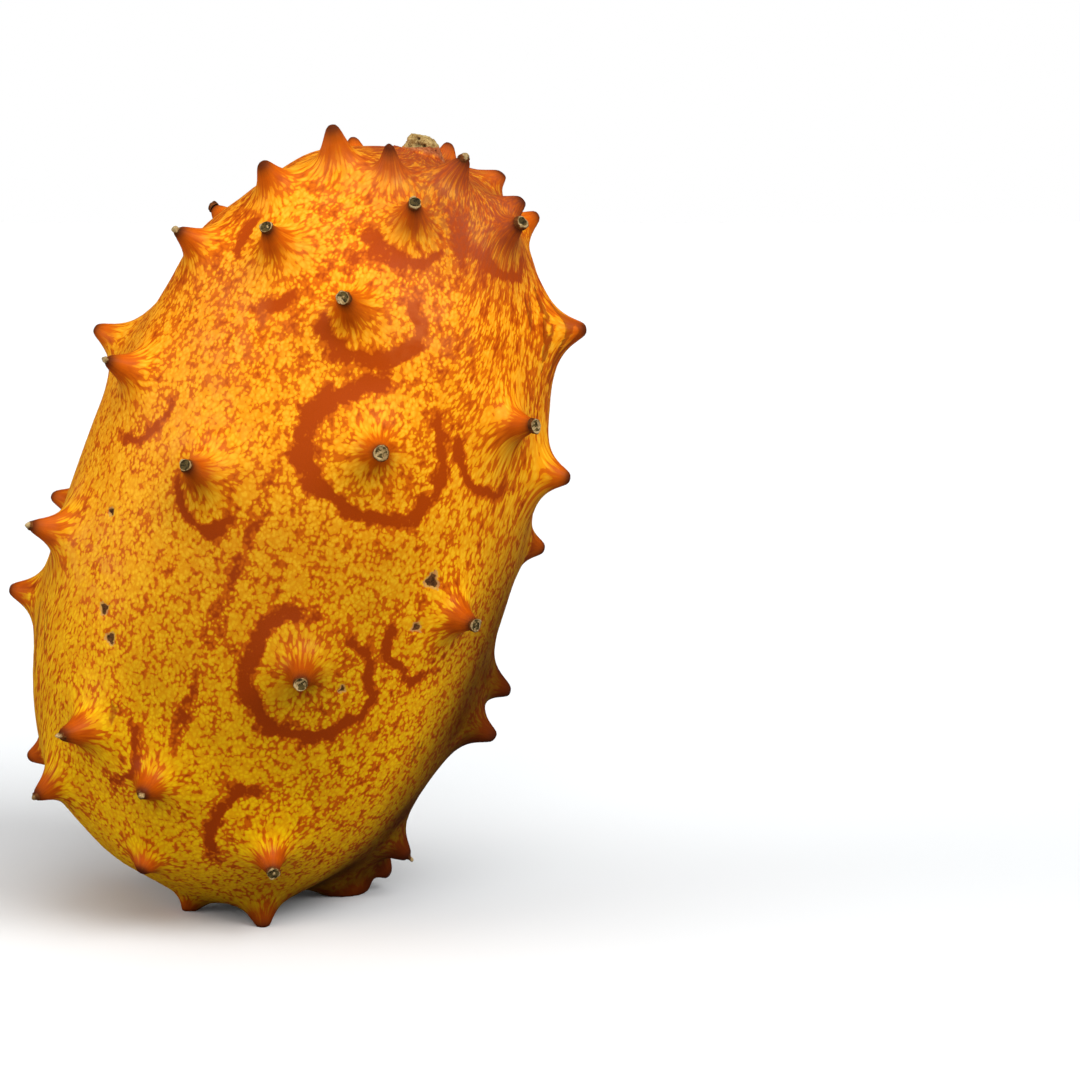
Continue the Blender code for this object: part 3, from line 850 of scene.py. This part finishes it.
def growth_tree():
    """Geometry nodes that lift a smooth body into what grows at each of a list of roots.

    Every root has a flared spine, which ends in a blunt tip, on a low, broad shoulder. A shoulder
    with a negative rise is a hollow.
    """
    wiring, given, result = new_tree("horned_growth", "GeometryNodeTree", {
        "Skin": "Geometry",
        "Roots": "Object",
        "Tip Rounding": TIP_ROUNDING,
        "Seat Radius": SEAT_RADIUS,
        "Seat Station": HALF_LENGTH + SEAT_RISE,
        "Wrinkle Depth": WRINKLE_DEPTH,
        "Pit Depth": PIT_DEPTH,
        "Seed": 3.0,
        "Material": "Material",
    }, {"Skin": "Geometry"})
    roots = wiring.add("GeometryNodeObjectInfo", {"Object": given["Roots"]})["Geometry"]
    count = wiring.add("GeometryNodeAttributeDomainSize", {"Geometry": roots})["Point Count"]
    begin, finish = wiring.add("GeometryNodeRepeatInput"), wiring.add("GeometryNodeRepeatOutput")
    begin.made.pair_with_output(finish.made)
    begin.take({"Iterations": count, "Geometry": given["Skin"]})

    def at_root(name, kind="FLOAT"):
        sample = {"Geometry": roots, "Value": wiring.named(name, kind), "Index": begin["Iteration"]}
        return wiring.add("GeometryNodeSampleIndex", sample, data_type=kind, domain="POINT")[0]

    outward, smooth = at_root("outward", "FLOAT_VECTOR"), wiring.named("smooth_place", "FLOAT_VECTOR")
    offset = smooth - at_root("root_place", "FLOAT_VECTOR")
    away = wiring.math("LENGTH", offset - outward.scaled(wiring.math("DOT_PRODUCT", offset, outward)))
    facing = wiring.math("DOT_PRODUCT", wiring.named("smooth_normal", "FLOAT_VECTOR"), outward)
    beyond = wiring.math("MINIMUM", (away - at_root("tip_radius")) / given["Tip Rounding"], LONGEST_FALL)
    soft = wiring.math("LOGARITHM", wiring.math("EXPONENT", beyond) + 1.0, math.e)
    spine = wiring.math("EXPONENT", soft * given["Tip Rounding"] / at_root("flare") * -1.0)
    turn = wiring.math("DIVIDE", away, at_root("shoulder_radius"), clamp=True)
    shoulder = wiring.math("COSINE", turn * (math.pi / 2.0)) ** 2.0 * at_root("shoulder_rise")
    lift = at_root("growing", "FLOAT_VECTOR").scaled(spine) + outward.scaled(shoulder)
    this_side = wiring.math("GREATER_THAN", facing, 0.0)
    finish.take({"Geometry": wiring.moved(begin["Geometry"], Offset=lift.scaled(this_side))})

    smooth, now = smooth.split(), wiring.add("GeometryNodeInputPosition")[0].split()
    across = wiring.math("SQRT", smooth["X"] ** 2.0 + smooth["Y"] ** 2.0)
    on_seat = (wiring.math("LESS_THAN", across, given["Seat Radius"])
               * wiring.math("GREATER_THAN", smooth["Z"], 0.0))
    skin = wiring.moved(finish["Geometry"], Selection=on_seat,
                        Position=wiring.vector(now["X"], now["Y"], given["Seat Station"]))
    mottle = wiring.named("mottle", "FLOAT_VECTOR") * (1.0, 1.0, WRINKLE_WIDTH / WRINKLE_LENGTH)
    folds = (mottle + given["Seed"]).noise(WRINKLE_WIDTH, 2.0) - 0.5
    folds = folds * given["Wrinkle Depth"] * wiring.named("wrinkled")
    pits = wiring.named("scab") * given["Pit Depth"]
    skin = wiring.moved(skin, Offset=wiring.add("GeometryNodeInputNormal")[0].scaled(folds - pits))
    result.take({"Skin": wiring.finished(skin, given["Material"])})
    return wiring.tree


def root_object():
    """The roots that the growth tree reads, one point for each horn and each hollow."""
    rows = [(*place(horn.bearing, horn.station)[:2], growing_part(horn), TIP_RADIUS * horn.blunt,
             horn.flare * MM, SHOULDER_RISE, SHOULDER_RADIUS) for horn in HORNS]
    rows += [(*place(bearing, station)[:2], np.zeros(3), TIP_RADIUS, MM, -depth * MM, reach * MM)
             for bearing, station, depth, reach in HOLLOWS]
    names = ("root_place", "outward", "growing", "tip_radius", "flare", "shoulder_rise", "shoulder_radius")
    columns = dict(zip(names, zip(*rows)))
    return new_object("growth_roots", points_mesh("growth_roots", columns["root_place"], columns))


def make_fruit(material):
    """The fruit's skin, and where the end of each horn is on it and which way it points."""
    points = spread_points()
    angle, bearing = on_body(points)
    points, normals = body_point(angle, bearing), body_normal(angle, bearing)
    marks = skin_marks(points, normals, bearing)
    wrinkled = (WRINKLED_LEAST + ramp(np.abs(points[:, 2]), *WRINKLED_ENDS)
                + sum(patch_mark(points, bearing, patch) for patch in WRINKLED_SIDES))
    passing = {"smooth_place": points, "smooth_normal": normals,
               "wrinkled": np.clip(wrinkled, 0.0, 1.0) * (1.0 - marks["burnt"])}
    mesh = bpy.data.meshes.new("smooth_body")
    mesh.from_pydata(points.tolist(), [], skin_faces(angle, bearing))
    add_attributes(mesh, {**passing, "mottle": mottling_places(points, normals, bearing), **marks})
    roots = root_object()
    fruit = grow("horned_melon_skin", mesh, growth_tree(), {"Roots": roots, "Material": material})
    bpy.data.objects.remove(roots, do_unlink=True)
    for name in passing:
        fruit.data.attributes.remove(fruit.data.attributes[name])

    flat = np.empty(points.size)
    fruit.data.vertices.foreach_get("co", flat)
    skin = stand(flat.reshape(-1, 3))
    shift = np.mean(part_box("fruit"), axis=0) - (skin.min(axis=0) + skin.max(axis=0)) / 2.0
    shift[2] = 0.0
    skin += shift
    skin[:, 2] = np.maximum(skin[:, 2], 0.0)
    fruit.data.vertices.foreach_set("co", skin.ravel())
    fruit.data.update()

    ends = []
    for horn in HORNS:
        if horn.tip != "bare":
            root = place(horn.bearing, horn.station)[0]
            nearest = np.argmin(np.linalg.norm(points - root, axis=1))
            grown = stand(growing_part(horn)) - stand(np.zeros(3))
            ends.append((horn, skin[nearest], grown / np.linalg.norm(grown)))
    return fruit, ends, shift


# The remnant at the end of a horn, from its middle or its point to its foot: how far along the
# outline, then radius and height as shares of its own, how pale it is and how near its middle
CUP = ((0.0, 0.0, 0.75, 0.3, 1.0), (0.2, 0.25, 0.66, 0.1, 1.0), (0.4, 0.55, 0.62, 0.0, 1.0),
       (0.54, 0.78, 0.72, 0.1, 0.8), (0.64, 0.88, 1.0, 0.95, 0.2), (0.74, 0.96, 0.92, 0.8, 0.0),
       (0.82, 1.01, 0.5, 0.15, 0.0), (0.9, 1.05, -0.2, 0.0, 0.0), (1.0, 1.09, -0.9, 0.0, 0.0))
THORN = ((0.0, 0.0, 1.0, 1.0, 0.0), (0.12, 0.28, 0.92, 1.0, 0.0), (0.35, 0.55, 0.6, 0.95, 0.0),
         (0.6, 0.72, 0.2, 0.5, 0.0), (0.78, 0.86, -0.1, 0.1, 0.0), (0.9, 0.96, -0.4, 0.0, 0.0),
         (1.0, 1.02, -0.9, 0.0, 0.0))
TIP_MERGE = 0.01 * MM
TIP_ROUGH_SIZE = 0.55 * MM
TIP_SWELL_SIZE = 1.6 * MM
TIP_SWELL = 1.6  # for each part of the finer roughness
TIP_WEAR = 2.0
TIP_WEAR_LOSS = 1.5  # of that, in the middle of a cup
TIP_SIZES = (0.92, 1.1)


def outline_value(wiring, along, rows, column):
    """One column of an outline's rows, read at how far along it a point is."""
    node = wiring.add("ShaderNodeFloatCurve", {"Value": along})
    mapping = node.made.mapping
    mapping.clip_min_y = -1.0
    points = mapping.curves[0].points
    for row, point in zip((rows[0], rows[-1]), (points[0], points[-1])):
        point.location = (row[0], row[column])
    for row in rows[1:-1]:
        points.new(row[0], row[column])
    mapping.update()
    return node[0]


def turned_form(wiring, rows, rings, sides, radius, height):
    """A round form with an outline's rows, which keeps how pale and how near its middle each point is."""
    given = {"Size X": 1.0, "Size Y": 1.0, "Vertices X": rings, "Vertices Y": sides + 1.0}
    grid = wiring.add("GeometryNodeMeshGrid", given)["Mesh"]
    flat = wiring.add("GeometryNodeInputPosition")[0].split()
    along, turn = flat["X"] + 0.5, flat["Y"] * FULL_TURN
    reach = outline_value(wiring, along, rows, 1) * radius
    rise = outline_value(wiring, along, rows, 2) * height
    spot = wiring.vector(wiring.math("COSINE", turn) * reach, wiring.math("SINE", turn) * reach, rise)
    for name, column in (("pale", 3), ("middle", 4)):
        grid = wiring.stored(grid, name, outline_value(wiring, along, rows, column))
    shaped = wiring.moved(grid, Position=spot)
    return wiring.add("GeometryNodeMergeByDistance", {"Geometry": shaped, "Distance": TIP_MERGE})[0]


def tip_tree():
    """Geometry nodes that set a dry remnant on the end of each horn: a cup or a thorn."""
    wiring, given, result = new_tree("dry_tips", "GeometryNodeTree", {
        "Ends": "Geometry",
        "Rings": 15,
        "Sides": 26,
        "Cup Radius": 0.93 * MM,
        "Cup Height": 0.34 * MM,
        "Thorn Radius": 0.66 * MM,
        "Thorn Height": 0.75 * MM,
        "Unevenness": 0.3 * MM,
        "Seed": 11,
        "Material": "Material",
    }, {"Tips": "Geometry"})

    def drawn(low, high):
        limits = {2: low, 3: high, "Seed": given["Seed"]}
        return wiring.add("FunctionNodeRandomValue", limits, data_type="FLOAT")[1]

    size = drawn(*TIP_SIZES) * wiring.named("girth")
    upright = wiring.add("FunctionNodeAlignRotationToVector",
                         {"Vector": wiring.named("grown_along", "FLOAT_VECTOR")}, axis="Z")[0]
    turned = wiring.add("FunctionNodeAxisAngleToRotation",
                        {"Axis": (0.0, 0.0, 1.0), "Angle": drawn(0.0, FULL_TURN)})[0]
    facing = wiring.add("FunctionNodeRotateRotation", {"Rotation": upright, "Rotate By": turned},
                        rotation_space="LOCAL")[0]
    aged = wiring.stored(given["Ends"], "age", drawn(0.0, 1.0))
    joined = wiring.add("GeometryNodeJoinGeometry")
    for kind, rows, side in (("Cup", CUP, "LESS_THAN"), ("Thorn", THORN, "GREATER_THAN")):
        form = turned_form(wiring, rows, given["Rings"], given["Sides"],
                           given[kind + " Radius"], given[kind + " Height"])
        chosen = wiring.math(side, wiring.named("thorny"), 0.5)
        joined.take({0: wiring.add("GeometryNodeInstanceOnPoints", {
            "Points": aged, "Selection": chosen, "Instance": form, "Rotation": facing, "Scale": size})[0]})
    real = wiring.add("GeometryNodeRealizeInstances", {"Geometry": joined[0]})[0]
    here = wiring.add("GeometryNodeInputPosition")[0]
    rough = here.noise(TIP_ROUGH_SIZE, 2.0, 0.6) - 0.5
    swell = here.noise(TIP_SWELL_SIZE, 0.0) - 0.5
    wear = TIP_WEAR - wiring.named("middle") * TIP_WEAR_LOSS
    push = (rough + swell * TIP_SWELL) * given["Unevenness"] * wear
    worn = wiring.moved(real, Offset=wiring.add("GeometryNodeInputNormal")[0].scaled(push))
    result.take({"Tips": wiring.finished(worn, given["Material"])})
    return wiring.tree


def make_tips(ends, material):
    """The dry remnants on the horns that have kept theirs."""
    horns, spots, directions = zip(*ends)
    mesh = points_mesh("horn_ends", spots, {
        "grown_along": directions,
        "thorny": [float(horn.tip == "thorn") for horn in horns],
        "girth": [horn.blunt for horn in horns],
    })
    return grow("dry_horn_tips", mesh, tip_tree(), {"Material": material})


def stub_height(across, level):
    """How high a level of the stub is. Its broken end is level on one side and falls away on the other."""
    slope = STUB_HEIGHT - STUB_FALL * across
    return level * -np.logaddexp(-slope / STUB_ROUNDING, -STUB_KNOB / STUB_ROUNDING) * STUB_ROUNDING


def make_stub(material, shift):
    """The dry stub of the stalk: a knobbly column, its broken and pitted end, and the rind up its foot."""
    ring = np.arange(STUB_COLUMN_RINGS + STUB_END_RINGS)
    level = np.minimum(ring / STUB_COLUMN_RINGS, 1.0)
    inward = np.maximum(ring - STUB_COLUMN_RINGS, 0) / STUB_END_RINGS
    turns = np.arange(STUB_SIDES) * FULL_TURN / STUB_SIDES
    radius = np.interp(level, STUB_LEVELS, STUB_RADII) * MM * (1.0 - inward)
    radius = np.outer(radius, wavy(turns, STUB_WAVES))
    across, deep = radius * np.cos(turns), radius * np.sin(turns)
    rise = STUB_CROWN * (1.0 - (1.0 - inward) ** 2) - STUB_ROOT * (1.0 - level)
    up = stub_height(across, level[:, None]) + rise[:, None]
    ends = ((0.0, 0.0, -STUB_ROOT), (0.0, 0.0, stub_height(0.0, 1.0) + STUB_CROWN))
    points = np.concatenate((np.stack((across, deep, up), axis=-1).reshape(-1, 3), ends))
    level, inward = (np.append(np.repeat(share, STUB_SIDES), (0.0, 1.0)) for share in (level, inward))

    away = points * (1.0, 1.0, 0.0)
    length = np.maximum(np.linalg.norm(away, axis=1), 1e-6)[:, None]
    outward = away / length * (1.0 - inward)[:, None] + np.outer(inward, STUB_END_FACING)
    rough = sum(depth * MM * fractal(points * (1.0, 1.0, squeeze), size * MM)
                for depth, size, squeeze in STUB_ROUGH)
    points = points + outward * (rough * ramp(level, 0.0, STUB_ROUGH_LEVEL))[:, None]
    pit = np.zeros(len(points))
    for *spot, reach in STUB_PITS:
        apart = np.linalg.norm(points - np.array(spot) * MM, axis=1)
        pit = np.maximum(pit, np.cos(math.pi / 2.0 * np.minimum(apart / (reach * MM), 1.0)) ** 2)
    points = points - outward * (pit * STUB_PIT_DEPTH)[:, None]
    bearing = np.arctan2(points[:, 1], points[:, 0])
    skinned = (level + STUB_RIND_TILT * np.cos(bearing - STUB_RIND_SIDE)
               + STUB_RIND_RAG * fractal(points, STUB_RIND_RAG_SIZE))

    last_ring, foot = (len(ring) - 1) * STUB_SIDES, len(ring) * STUB_SIDES
    faces = []
    for side in range(STUB_SIDES):
        after = (side + 1) % STUB_SIDES
        faces.append((after, side, foot))
        faces += [(low + side, low + after, low + STUB_SIDES + after, low + STUB_SIDES + side)
                  for low in range(0, last_ring, STUB_SIDES)]
        faces.append((last_ring + side, last_ring + after, foot + 1))
    seat = np.array((STUB_SHIFT, 0.0, HALF_LENGTH + SEAT_RISE))
    mesh = bpy.data.meshes.new("dry_stalk_stub")
    mesh.from_pydata((stand(points + seat) + shift).tolist(), [], faces)
    mesh.shade_smooth()
    add_attributes(mesh, {
        "pit": pit,
        "skinned": ramp(skinned, *STUB_RIND_BAND),
        "knob": ramp(points[:, 2] - STUB_DRY_LEAN * points[:, 0], *STUB_DRY_BAND),
    })
    mesh.materials.append(material)
    return new_object("dry_stalk_stub", mesh)


def colour(red, green, blue):
    """A colour as the shaders take it, from display values of 0 to 255."""
    shares = [value / 255.0 for value in (red, green, blue)]
    return (*(((share + 0.055) / 1.055) ** 2.4 if share > 0.04045 else share / 12.92
              for share in shares), 1.0)


# Mottling of the rind: sizes, and how far each kind of feature counts against the others
STIR_SIZE = 0.9 * MM  # of the eddies that make the blots uneven
STIR_REACH = 0.75 * MM
DRIFT_SIZE = 2.3 * MM
DRIFT_FORCE = (0.45, 1.5)  # where there is little rust, and where there is much
BLOT_SIZE = 1.0 * MM
GRAIN_SIZE = 0.56 * MM
GRAIN_MIDDLE = 0.47
GRAIN_FORCE = 0.8
RUST_FORCE = 0.75
SOLID_FROM = 0.78  # the share of rust past which the last yellow closes up
SOLID_FORCE = 2.2
RUST_EDGE = (-0.03, 0.04)
TONE_SIZE = 3.2 * MM
SHEEN_SIZE = 1.8 * MM
SHEEN = (0.40, 0.54)  # least and most roughness
PORE_SIZE = 0.22 * MM
FOLD_SIZE = 0.6 * MM
FOLD_SQUEEZE = (1.0, 1.0, 0.2)
SCAB_RIM_SIZE = 0.5 * MM
SCAB_SIZE = 0.7 * MM
CREASE_DEPTH = 2.0
# Dry tissues
FIBRE_SIZE = 0.7 * MM
FINE_FIBRE_SIZE = 0.18 * MM
DRY_PORE_SIZE = 0.34 * MM
CRUMB_SIZE = 0.6 * MM
CORK_EDGE_SIZE = 0.42 * MM
STALK_EDGE_SIZE = 0.9 * MM
# Depth and strength of each relief
RIND_RELIEF = (0.09 * MM, 0.75)
TIP_RELIEF = (0.12 * MM, 0.7)
STALK_RELIEF = (0.14 * MM, 0.7)

# Colours of the rind, low on the fruit and high on it
LEMON = colour(220, 168, 2), colour(246, 158, 14)
PALE_LEMON = colour(236, 188, 4), colour(252, 175, 42)
GOLD = colour(204, 150, 2), colour(236, 142, 12)
SEAM = colour(218, 124, 2), colour(232, 126, 10)
RUST = colour(198, 94, 2), colour(214, 104, 6)
DEEP_RUST = colour(150, 54, 1), colour(174, 66, 2)
FLANK = colour(178, 76, 2), colour(202, 92, 6)
# and anywhere on it
# Colour of the painted sheen
PAINTED_SHEEN_PINK = colour(222, 128, 66)
CROWN_BROWN = colour(150, 66, 34)
# Colour of the painted shade
PAINTED_SHADE_BROWN = colour(72, 24, 3)
CREASE_BROWN = colour(150, 60, 6)
BURNT_BROWN = colour(66, 25, 10)
SCAB_RIM = colour(186, 140, 84)
# Painted shade: near-black in the stub's pits
PIT_PAINTED_SHADE = colour(20, 14, 10)


class Coat(NamedTuple):
    """A colour over the mottling, broken up by a noise on the mottling's places or on the piece's own."""
    mark: str
    on_mottling: bool
    size: float
    detail: float
    band: tuple  # of the noise, and how much of the colour shows at its two limits
    tint: tuple  # or a pair, low on the fruit and high on it


COATS = (
    Coat("flank", True, 0.5, 1.0, (0.30, 0.62, 0.62, 0.95), FLANK),
    # painted sheen in pale pink patches
    Coat("painted_sheen", False, 2.4, 2.0, (0.3, 0.7, 0.0, 0.22), PAINTED_SHEEN_PINK),
    Coat("crown", True, 0.55, 2.0, (0.38, 0.6, 0.45, 0.92), CROWN_BROWN),
    # painted shade, darkest low on the right side
    Coat("painted_shade", False, 9.0, 3.0, (0.3, 0.7, 0.82, 1.0), PAINTED_SHADE_BROWN),
)

# Light, middle and dark of each dry tissue
SCAB = colour(104, 66, 34), colour(50, 26, 12), colour(14, 8, 5)
CORK = colour(186, 160, 112), colour(122, 96, 58), colour(30, 21, 12)
STALK_SIDE = colour(190, 116, 72), colour(146, 74, 38), colour(70, 32, 20)
STALK_FACE = colour(188, 162, 104), colour(132, 102, 54), colour(36, 20, 10)
# Light and middle of the cork at a tip's foot and in its hollow, the cork's own colour with painted shade
# over it, and the dark that both have
FOOT_CORK_AND_SHADE = colour(112, 62, 22), colour(66, 32, 10)
HOLLOW_CORK_AND_SHADE = colour(92, 76, 40), colour(24, 19, 9)
CORK_DARK = colour(6, 5, 3)


def dry_tissue_group():
    """Dry plant tissue: fibres and pores in three colours, with their relief."""
    wiring, given, result = new_tree("dry_tissue", "ShaderNodeTree", {
        "Place": "Vector",
        "Grain": 1.0,
        "Light": SCAB[0],
        "Middle": SCAB[1],
        "Dark": SCAB[2],
    }, {"Color": "Color", "Height": "Float", "Pores": "Float"})
    grained = given["Place"].scaled(given["Grain"])
    coarse, fine = grained.noise(FIBRE_SIZE, 3.0, 0.6), grained.noise(FINE_FIBRE_SIZE, 2.0, 0.7)
    cells = wiring.add("ShaderNodeTexVoronoi", {"Vector": grained, "Scale": 1.0 / DRY_PORE_SIZE})[0]
    fibres = coarse * 0.6 + fine * 0.4
    pores = (cells + coarse * 0.6).step(0.50, 0.34)
    shade = fibres.step(0.36, 0.62).mix(given["Middle"], given["Light"])
    result.take({"Color": (pores * 0.85).mix(shade, given["Dark"]), "Height": fibres - pores, "Pores": pores})
    return wiring.tree


def waxy_skin_group():
    """Waxy mottled skin: a lemon to orange ground over rust, with the relief of its pores."""
    wiring, given, result = new_tree("waxy_skin", "ShaderNodeTree", {
        "Place": "Vector",
        "Rust": 0.5,
        "Warm": 0.5,
    }, {"Color": "Color", "Height": "Float", "Roughness": "Float"})
    here, rust, warm = given["Place"], given["Rust"], given["Warm"]
    stir = here.noise(STIR_SIZE, 2.0, output="Color") - (0.5, 0.5, 0.5)
    stirred = here + stir.scaled(STIR_REACH)
    drifts = (stirred.noise(DRIFT_SIZE, 1.5) - 0.5) * rust.step(0.1, 0.6, *DRIFT_FORCE)
    blots = stirred.noise(BLOT_SIZE) - 0.5
    grain = {"Vector": stirred, "Scale": 1.0 / GRAIN_SIZE, "Smoothness": 0.12}
    cells = wiring.add("ShaderNodeTexVoronoi", grain, feature="SMOOTH_F1")["Distance"]
    grains = (GRAIN_MIDDLE - cells) * GRAIN_FORCE
    solid = wiring.math("MAXIMUM", rust - SOLID_FROM, 0.0) * SOLID_FORCE
    level = blots + drifts + grains - ((rust - 0.5) * RUST_FORCE + solid)

    ground = level.step(0.05, 0.4).mix(warm.mix(*LEMON), warm.mix(*PALE_LEMON))
    ground = here.noise(TONE_SIZE, 2.0).step(0.42, 0.64, 0.0, 0.35).mix(ground, warm.mix(*GOLD))
    ground = cells.step(0.26, 0.56, 0.0, 0.4).mix(ground, warm.mix(*SEAM))
    blotch = level.step(-0.05, -0.55).mix(warm.mix(*RUST), warm.mix(*DEEP_RUST))
    folds = (here * FOLD_SQUEEZE).noise(FOLD_SIZE, 2.0)
    result.take({
        "Color": level.step(*RUST_EDGE).mix(blotch, ground),
        "Height": here.noise(PORE_SIZE, 2.0, 0.6) * 0.45 + folds * 0.55,
        "Roughness": here.noise(SHEEN_SIZE, 2.0).step(0.3, 0.7, *SHEEN),
    })
    return wiring.tree


def new_material(name, **constants):
    """A material, its wiring and its shader, which takes the constants."""
    material = bpy.data.materials.new(name)
    material.use_nodes = True
    wiring = Wiring(material.node_tree)
    shader = Node(wiring, material.node_tree.nodes["Principled BSDF"])
    shader.take({label.replace("_", " "): value for label, value in constants.items()})
    return material, wiring, shader


def dry(wiring, dry_tissue, here, tones, grain=1.0):
    """Dry tissue in its three colours."""
    given = {"Place": here, "Grain": grain, **dict(zip(("Light", "Middle", "Dark"), tones))}
    return wiring.add("ShaderNodeGroup", given, node_tree=dry_tissue)


def rind_material(waxy_skin, dry_tissue):
    """Waxy mottled rind, which goes solid up the horns and dark at their ends."""
    material, wiring, shader = new_material("mottled_rind", Specular_IOR_Level=0.05, Coat_Roughness=0.2)
    here = wiring.add("ShaderNodeTexCoord")["Object"]
    mottle, warm = wiring.attribute("mottle", "Vector"), wiring.attribute("warm")
    skin = wiring.add("ShaderNodeGroup", {"Place": mottle, "Rust": wiring.attribute("rust"), "Warm": warm},
                      node_tree=waxy_skin)
    scabby = dry(wiring, dry_tissue, here, SCAB)
    crease, burnt = wiring.attribute("crease").step(0.55, 0.8), wiring.attribute("burnt") * 0.9
    scab = wiring.attribute("scab")
    rim = (scab + here.noise(SCAB_RIM_SIZE, 2.0)).step(0.65, 0.85) * scab.step(0.0, 0.2)
    scab = (scab + here.noise(SCAB_SIZE, 2.0)).step(0.95, 1.2)
    shade = skin["Color"]
    for coat in COATS:
        broken = (mottle if coat.on_mottling else here).noise(coat.size * MM, coat.detail).step(*coat.band)
        tint = warm.mix(*coat.tint) if len(coat.tint) == 2 else coat.tint
        shade = (wiring.attribute(coat.mark) * broken).mix(shade, tint)
    for share, tint in ((crease * 0.8, CREASE_BROWN), (burnt, BURNT_BROWN), (rim * 0.7, SCAB_RIM),
                        (scab, scabby["Color"])):
        shade = share.mix(shade, tint)
    height = scab.blend(skin["Height"], scabby["Height"]) - crease * CREASE_DEPTH
    shader.take({
        "Base Color": shade,
        "Roughness": skin["Roughness"] + wiring.math("MAXIMUM", burnt, scab) * 0.3,
        "Coat Weight": scab.step(0.0, 1.0, 0.02, 0.0),
        "Normal": height.relief(*RIND_RELIEF),
    })
    return material


def tip_material(dry_tissue):
    """Dry, corky remnant of a horn's point: pale on its rim, dark in its middle and at its foot, partly the
    cork's own colour and partly painted shade.
    """
    material, wiring, shader = new_material("dry_horn_tip", Specular_IOR_Level=0.08)
    here = wiring.add("ShaderNodeTexCoord")["Object"]
    in_middle = wiring.attribute("middle").step(0.1, 0.5)
    # painted shade: darker cork at the tip's foot and in its hollow
    tones = [in_middle.mix(foot, hollow) for foot, hollow in zip(FOOT_CORK_AND_SHADE, HOLLOW_CORK_AND_SHADE)]
    dark = dry(wiring, dry_tissue, here, (*tones, CORK_DARK))
    light = dry(wiring, dry_tissue, here, CORK, 0.9)
    crumbs = in_middle * (here.noise(CRUMB_SIZE, 2.0) + wiring.attribute("age") * 0.36).step(0.74, 0.9)
    edges = (here.noise(CORK_EDGE_SIZE, 2.0) - 0.5) * 1.2
    pale = (wiring.attribute("pale") + crumbs + edges).step(0.38, 0.85)
    shader.take({
        "Base Color": pale.mix(dark["Color"], light["Color"]),
        "Roughness": light["Pores"].step(0.0, 1.0, 0.66, 0.92),
        "Normal": light["Height"].relief(*TIP_RELIEF),
    })
    return material


def stub_material(waxy_skin, dry_tissue):
    """Dry, pitted stalk, with the rind drawn up its foot on one side."""
    material, wiring, shader = new_material("dry_stalk", Specular_IOR_Level=0.1)
    here = wiring.add("ShaderNodeTexCoord")["Object"]
    side = dry(wiring, dry_tissue, here, STALK_SIDE, 0.7)
    face = dry(wiring, dry_tissue, here, STALK_FACE, 0.8)
    skin = wiring.add("ShaderNodeGroup", {"Place": here, "Rust": 0.78, "Warm": 0.9}, node_tree=waxy_skin)
    dry_top = (wiring.attribute("knob") + here.noise(STALK_EDGE_SIZE, 2.0)).step(0.9, 1.15)
    skinned = wiring.attribute("skinned")
    shade = (skinned * 0.85).mix(dry_top.mix(side["Color"], face["Color"]), skin["Color"])
    shader.take({
        # painted shade in the pits
        "Base Color": wiring.attribute("pit").mix(shade, PIT_PAINTED_SHADE),
        "Roughness": skinned.step(0.0, 1.0, 0.85, 0.5),
        "Normal": skinned.blend(face["Height"], skin["Height"]).relief(*STALK_RELIEF),
    })
    return material


def add_floor():
    """A pale floor, which shows white but throws little light back up at the fruit."""
    corners = ((-1, -1), (1, -1), (1, 1), (-1, 1))
    mesh = bpy.data.meshes.new("floor")
    mesh.from_pydata([(across * FLOOR_REACH, deep * FLOOR_REACH, 0.0) for across, deep in corners],
                     [], [(0, 1, 2, 3)])
    material, wiring, shader = new_material("pale_floor", Roughness=0.8, Specular_IOR_Level=0.0)
    ray = wiring.add("ShaderNodeLightPath")
    unseen = ray["Is Glossy Ray"].mix(FLOOR_BOUNCE, FLOOR_MIRRORED)
    shader.take({"Base Color": ray["Is Camera Ray"].mix(unseen, FLOOR_SEEN)})
    mesh.materials.append(material)
    new_object("floor", mesh)


def add_room():
    """A white room that shows white and gives a dimmer, even light of its own."""
    world = bpy.data.worlds.new("white_room")
    bpy.context.scene.world = world
    world.use_nodes = True
    wiring = Wiring(world.node_tree)
    ray = wiring.add("ShaderNodeLightPath")
    unseen = ray["Is Glossy Ray"].switch(ROOM_LIGHT, ROOM_MIRRORED)
    Node(wiring, world.node_tree.nodes["Background"]).take({
        "Color": (1.0, 1.0, 1.0, 1.0),
        "Strength": ray["Is Camera Ray"].switch(unseen, ROOM_SEEN),
    })


def add_lights():
    """Broad, far lights."""
    for name, (bearing, height, spread, strength) in LIGHTS.items():
        light = bpy.data.lights.new(name, "SUN")
        light.angle = math.radians(spread)
        light.energy = strength
        new_object(name, light).rotation_euler = (math.radians(90.0 - height), 0.0, math.radians(bearing))


def add_camera():
    camera = bpy.data.cameras.new("camera")
    camera.lens = 100.0
    camera.sensor_width = 36.0
    camera.clip_start = 0.01
    view = new_object("camera", camera)
    view.location = CAMERA_PLACE
    view.rotation_euler = (math.radians(90.0) - CAMERA_DOWN, 0.0, 0.0)
    bpy.context.scene.camera = view


waxy_skin, dry_tissue = waxy_skin_group(), dry_tissue_group()
fruit, horn_ends, shift = make_fruit(rind_material(waxy_skin, dry_tissue))
tips = make_tips(horn_ends, tip_material(dry_tissue))
stub = make_stub(stub_material(waxy_skin, dry_tissue), shift)
for piece, node, slot_name in ((fruit, "fruit", "rind"), (tips, "fruit", "rind"),
                               (stub, "stem_stub", "dry_stalk")):
    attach(piece, "root")
    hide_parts(node)

add_floor()
add_lights()
add_room()
add_camera()
bpy.context.scene.view_settings.view_transform = "Standard"
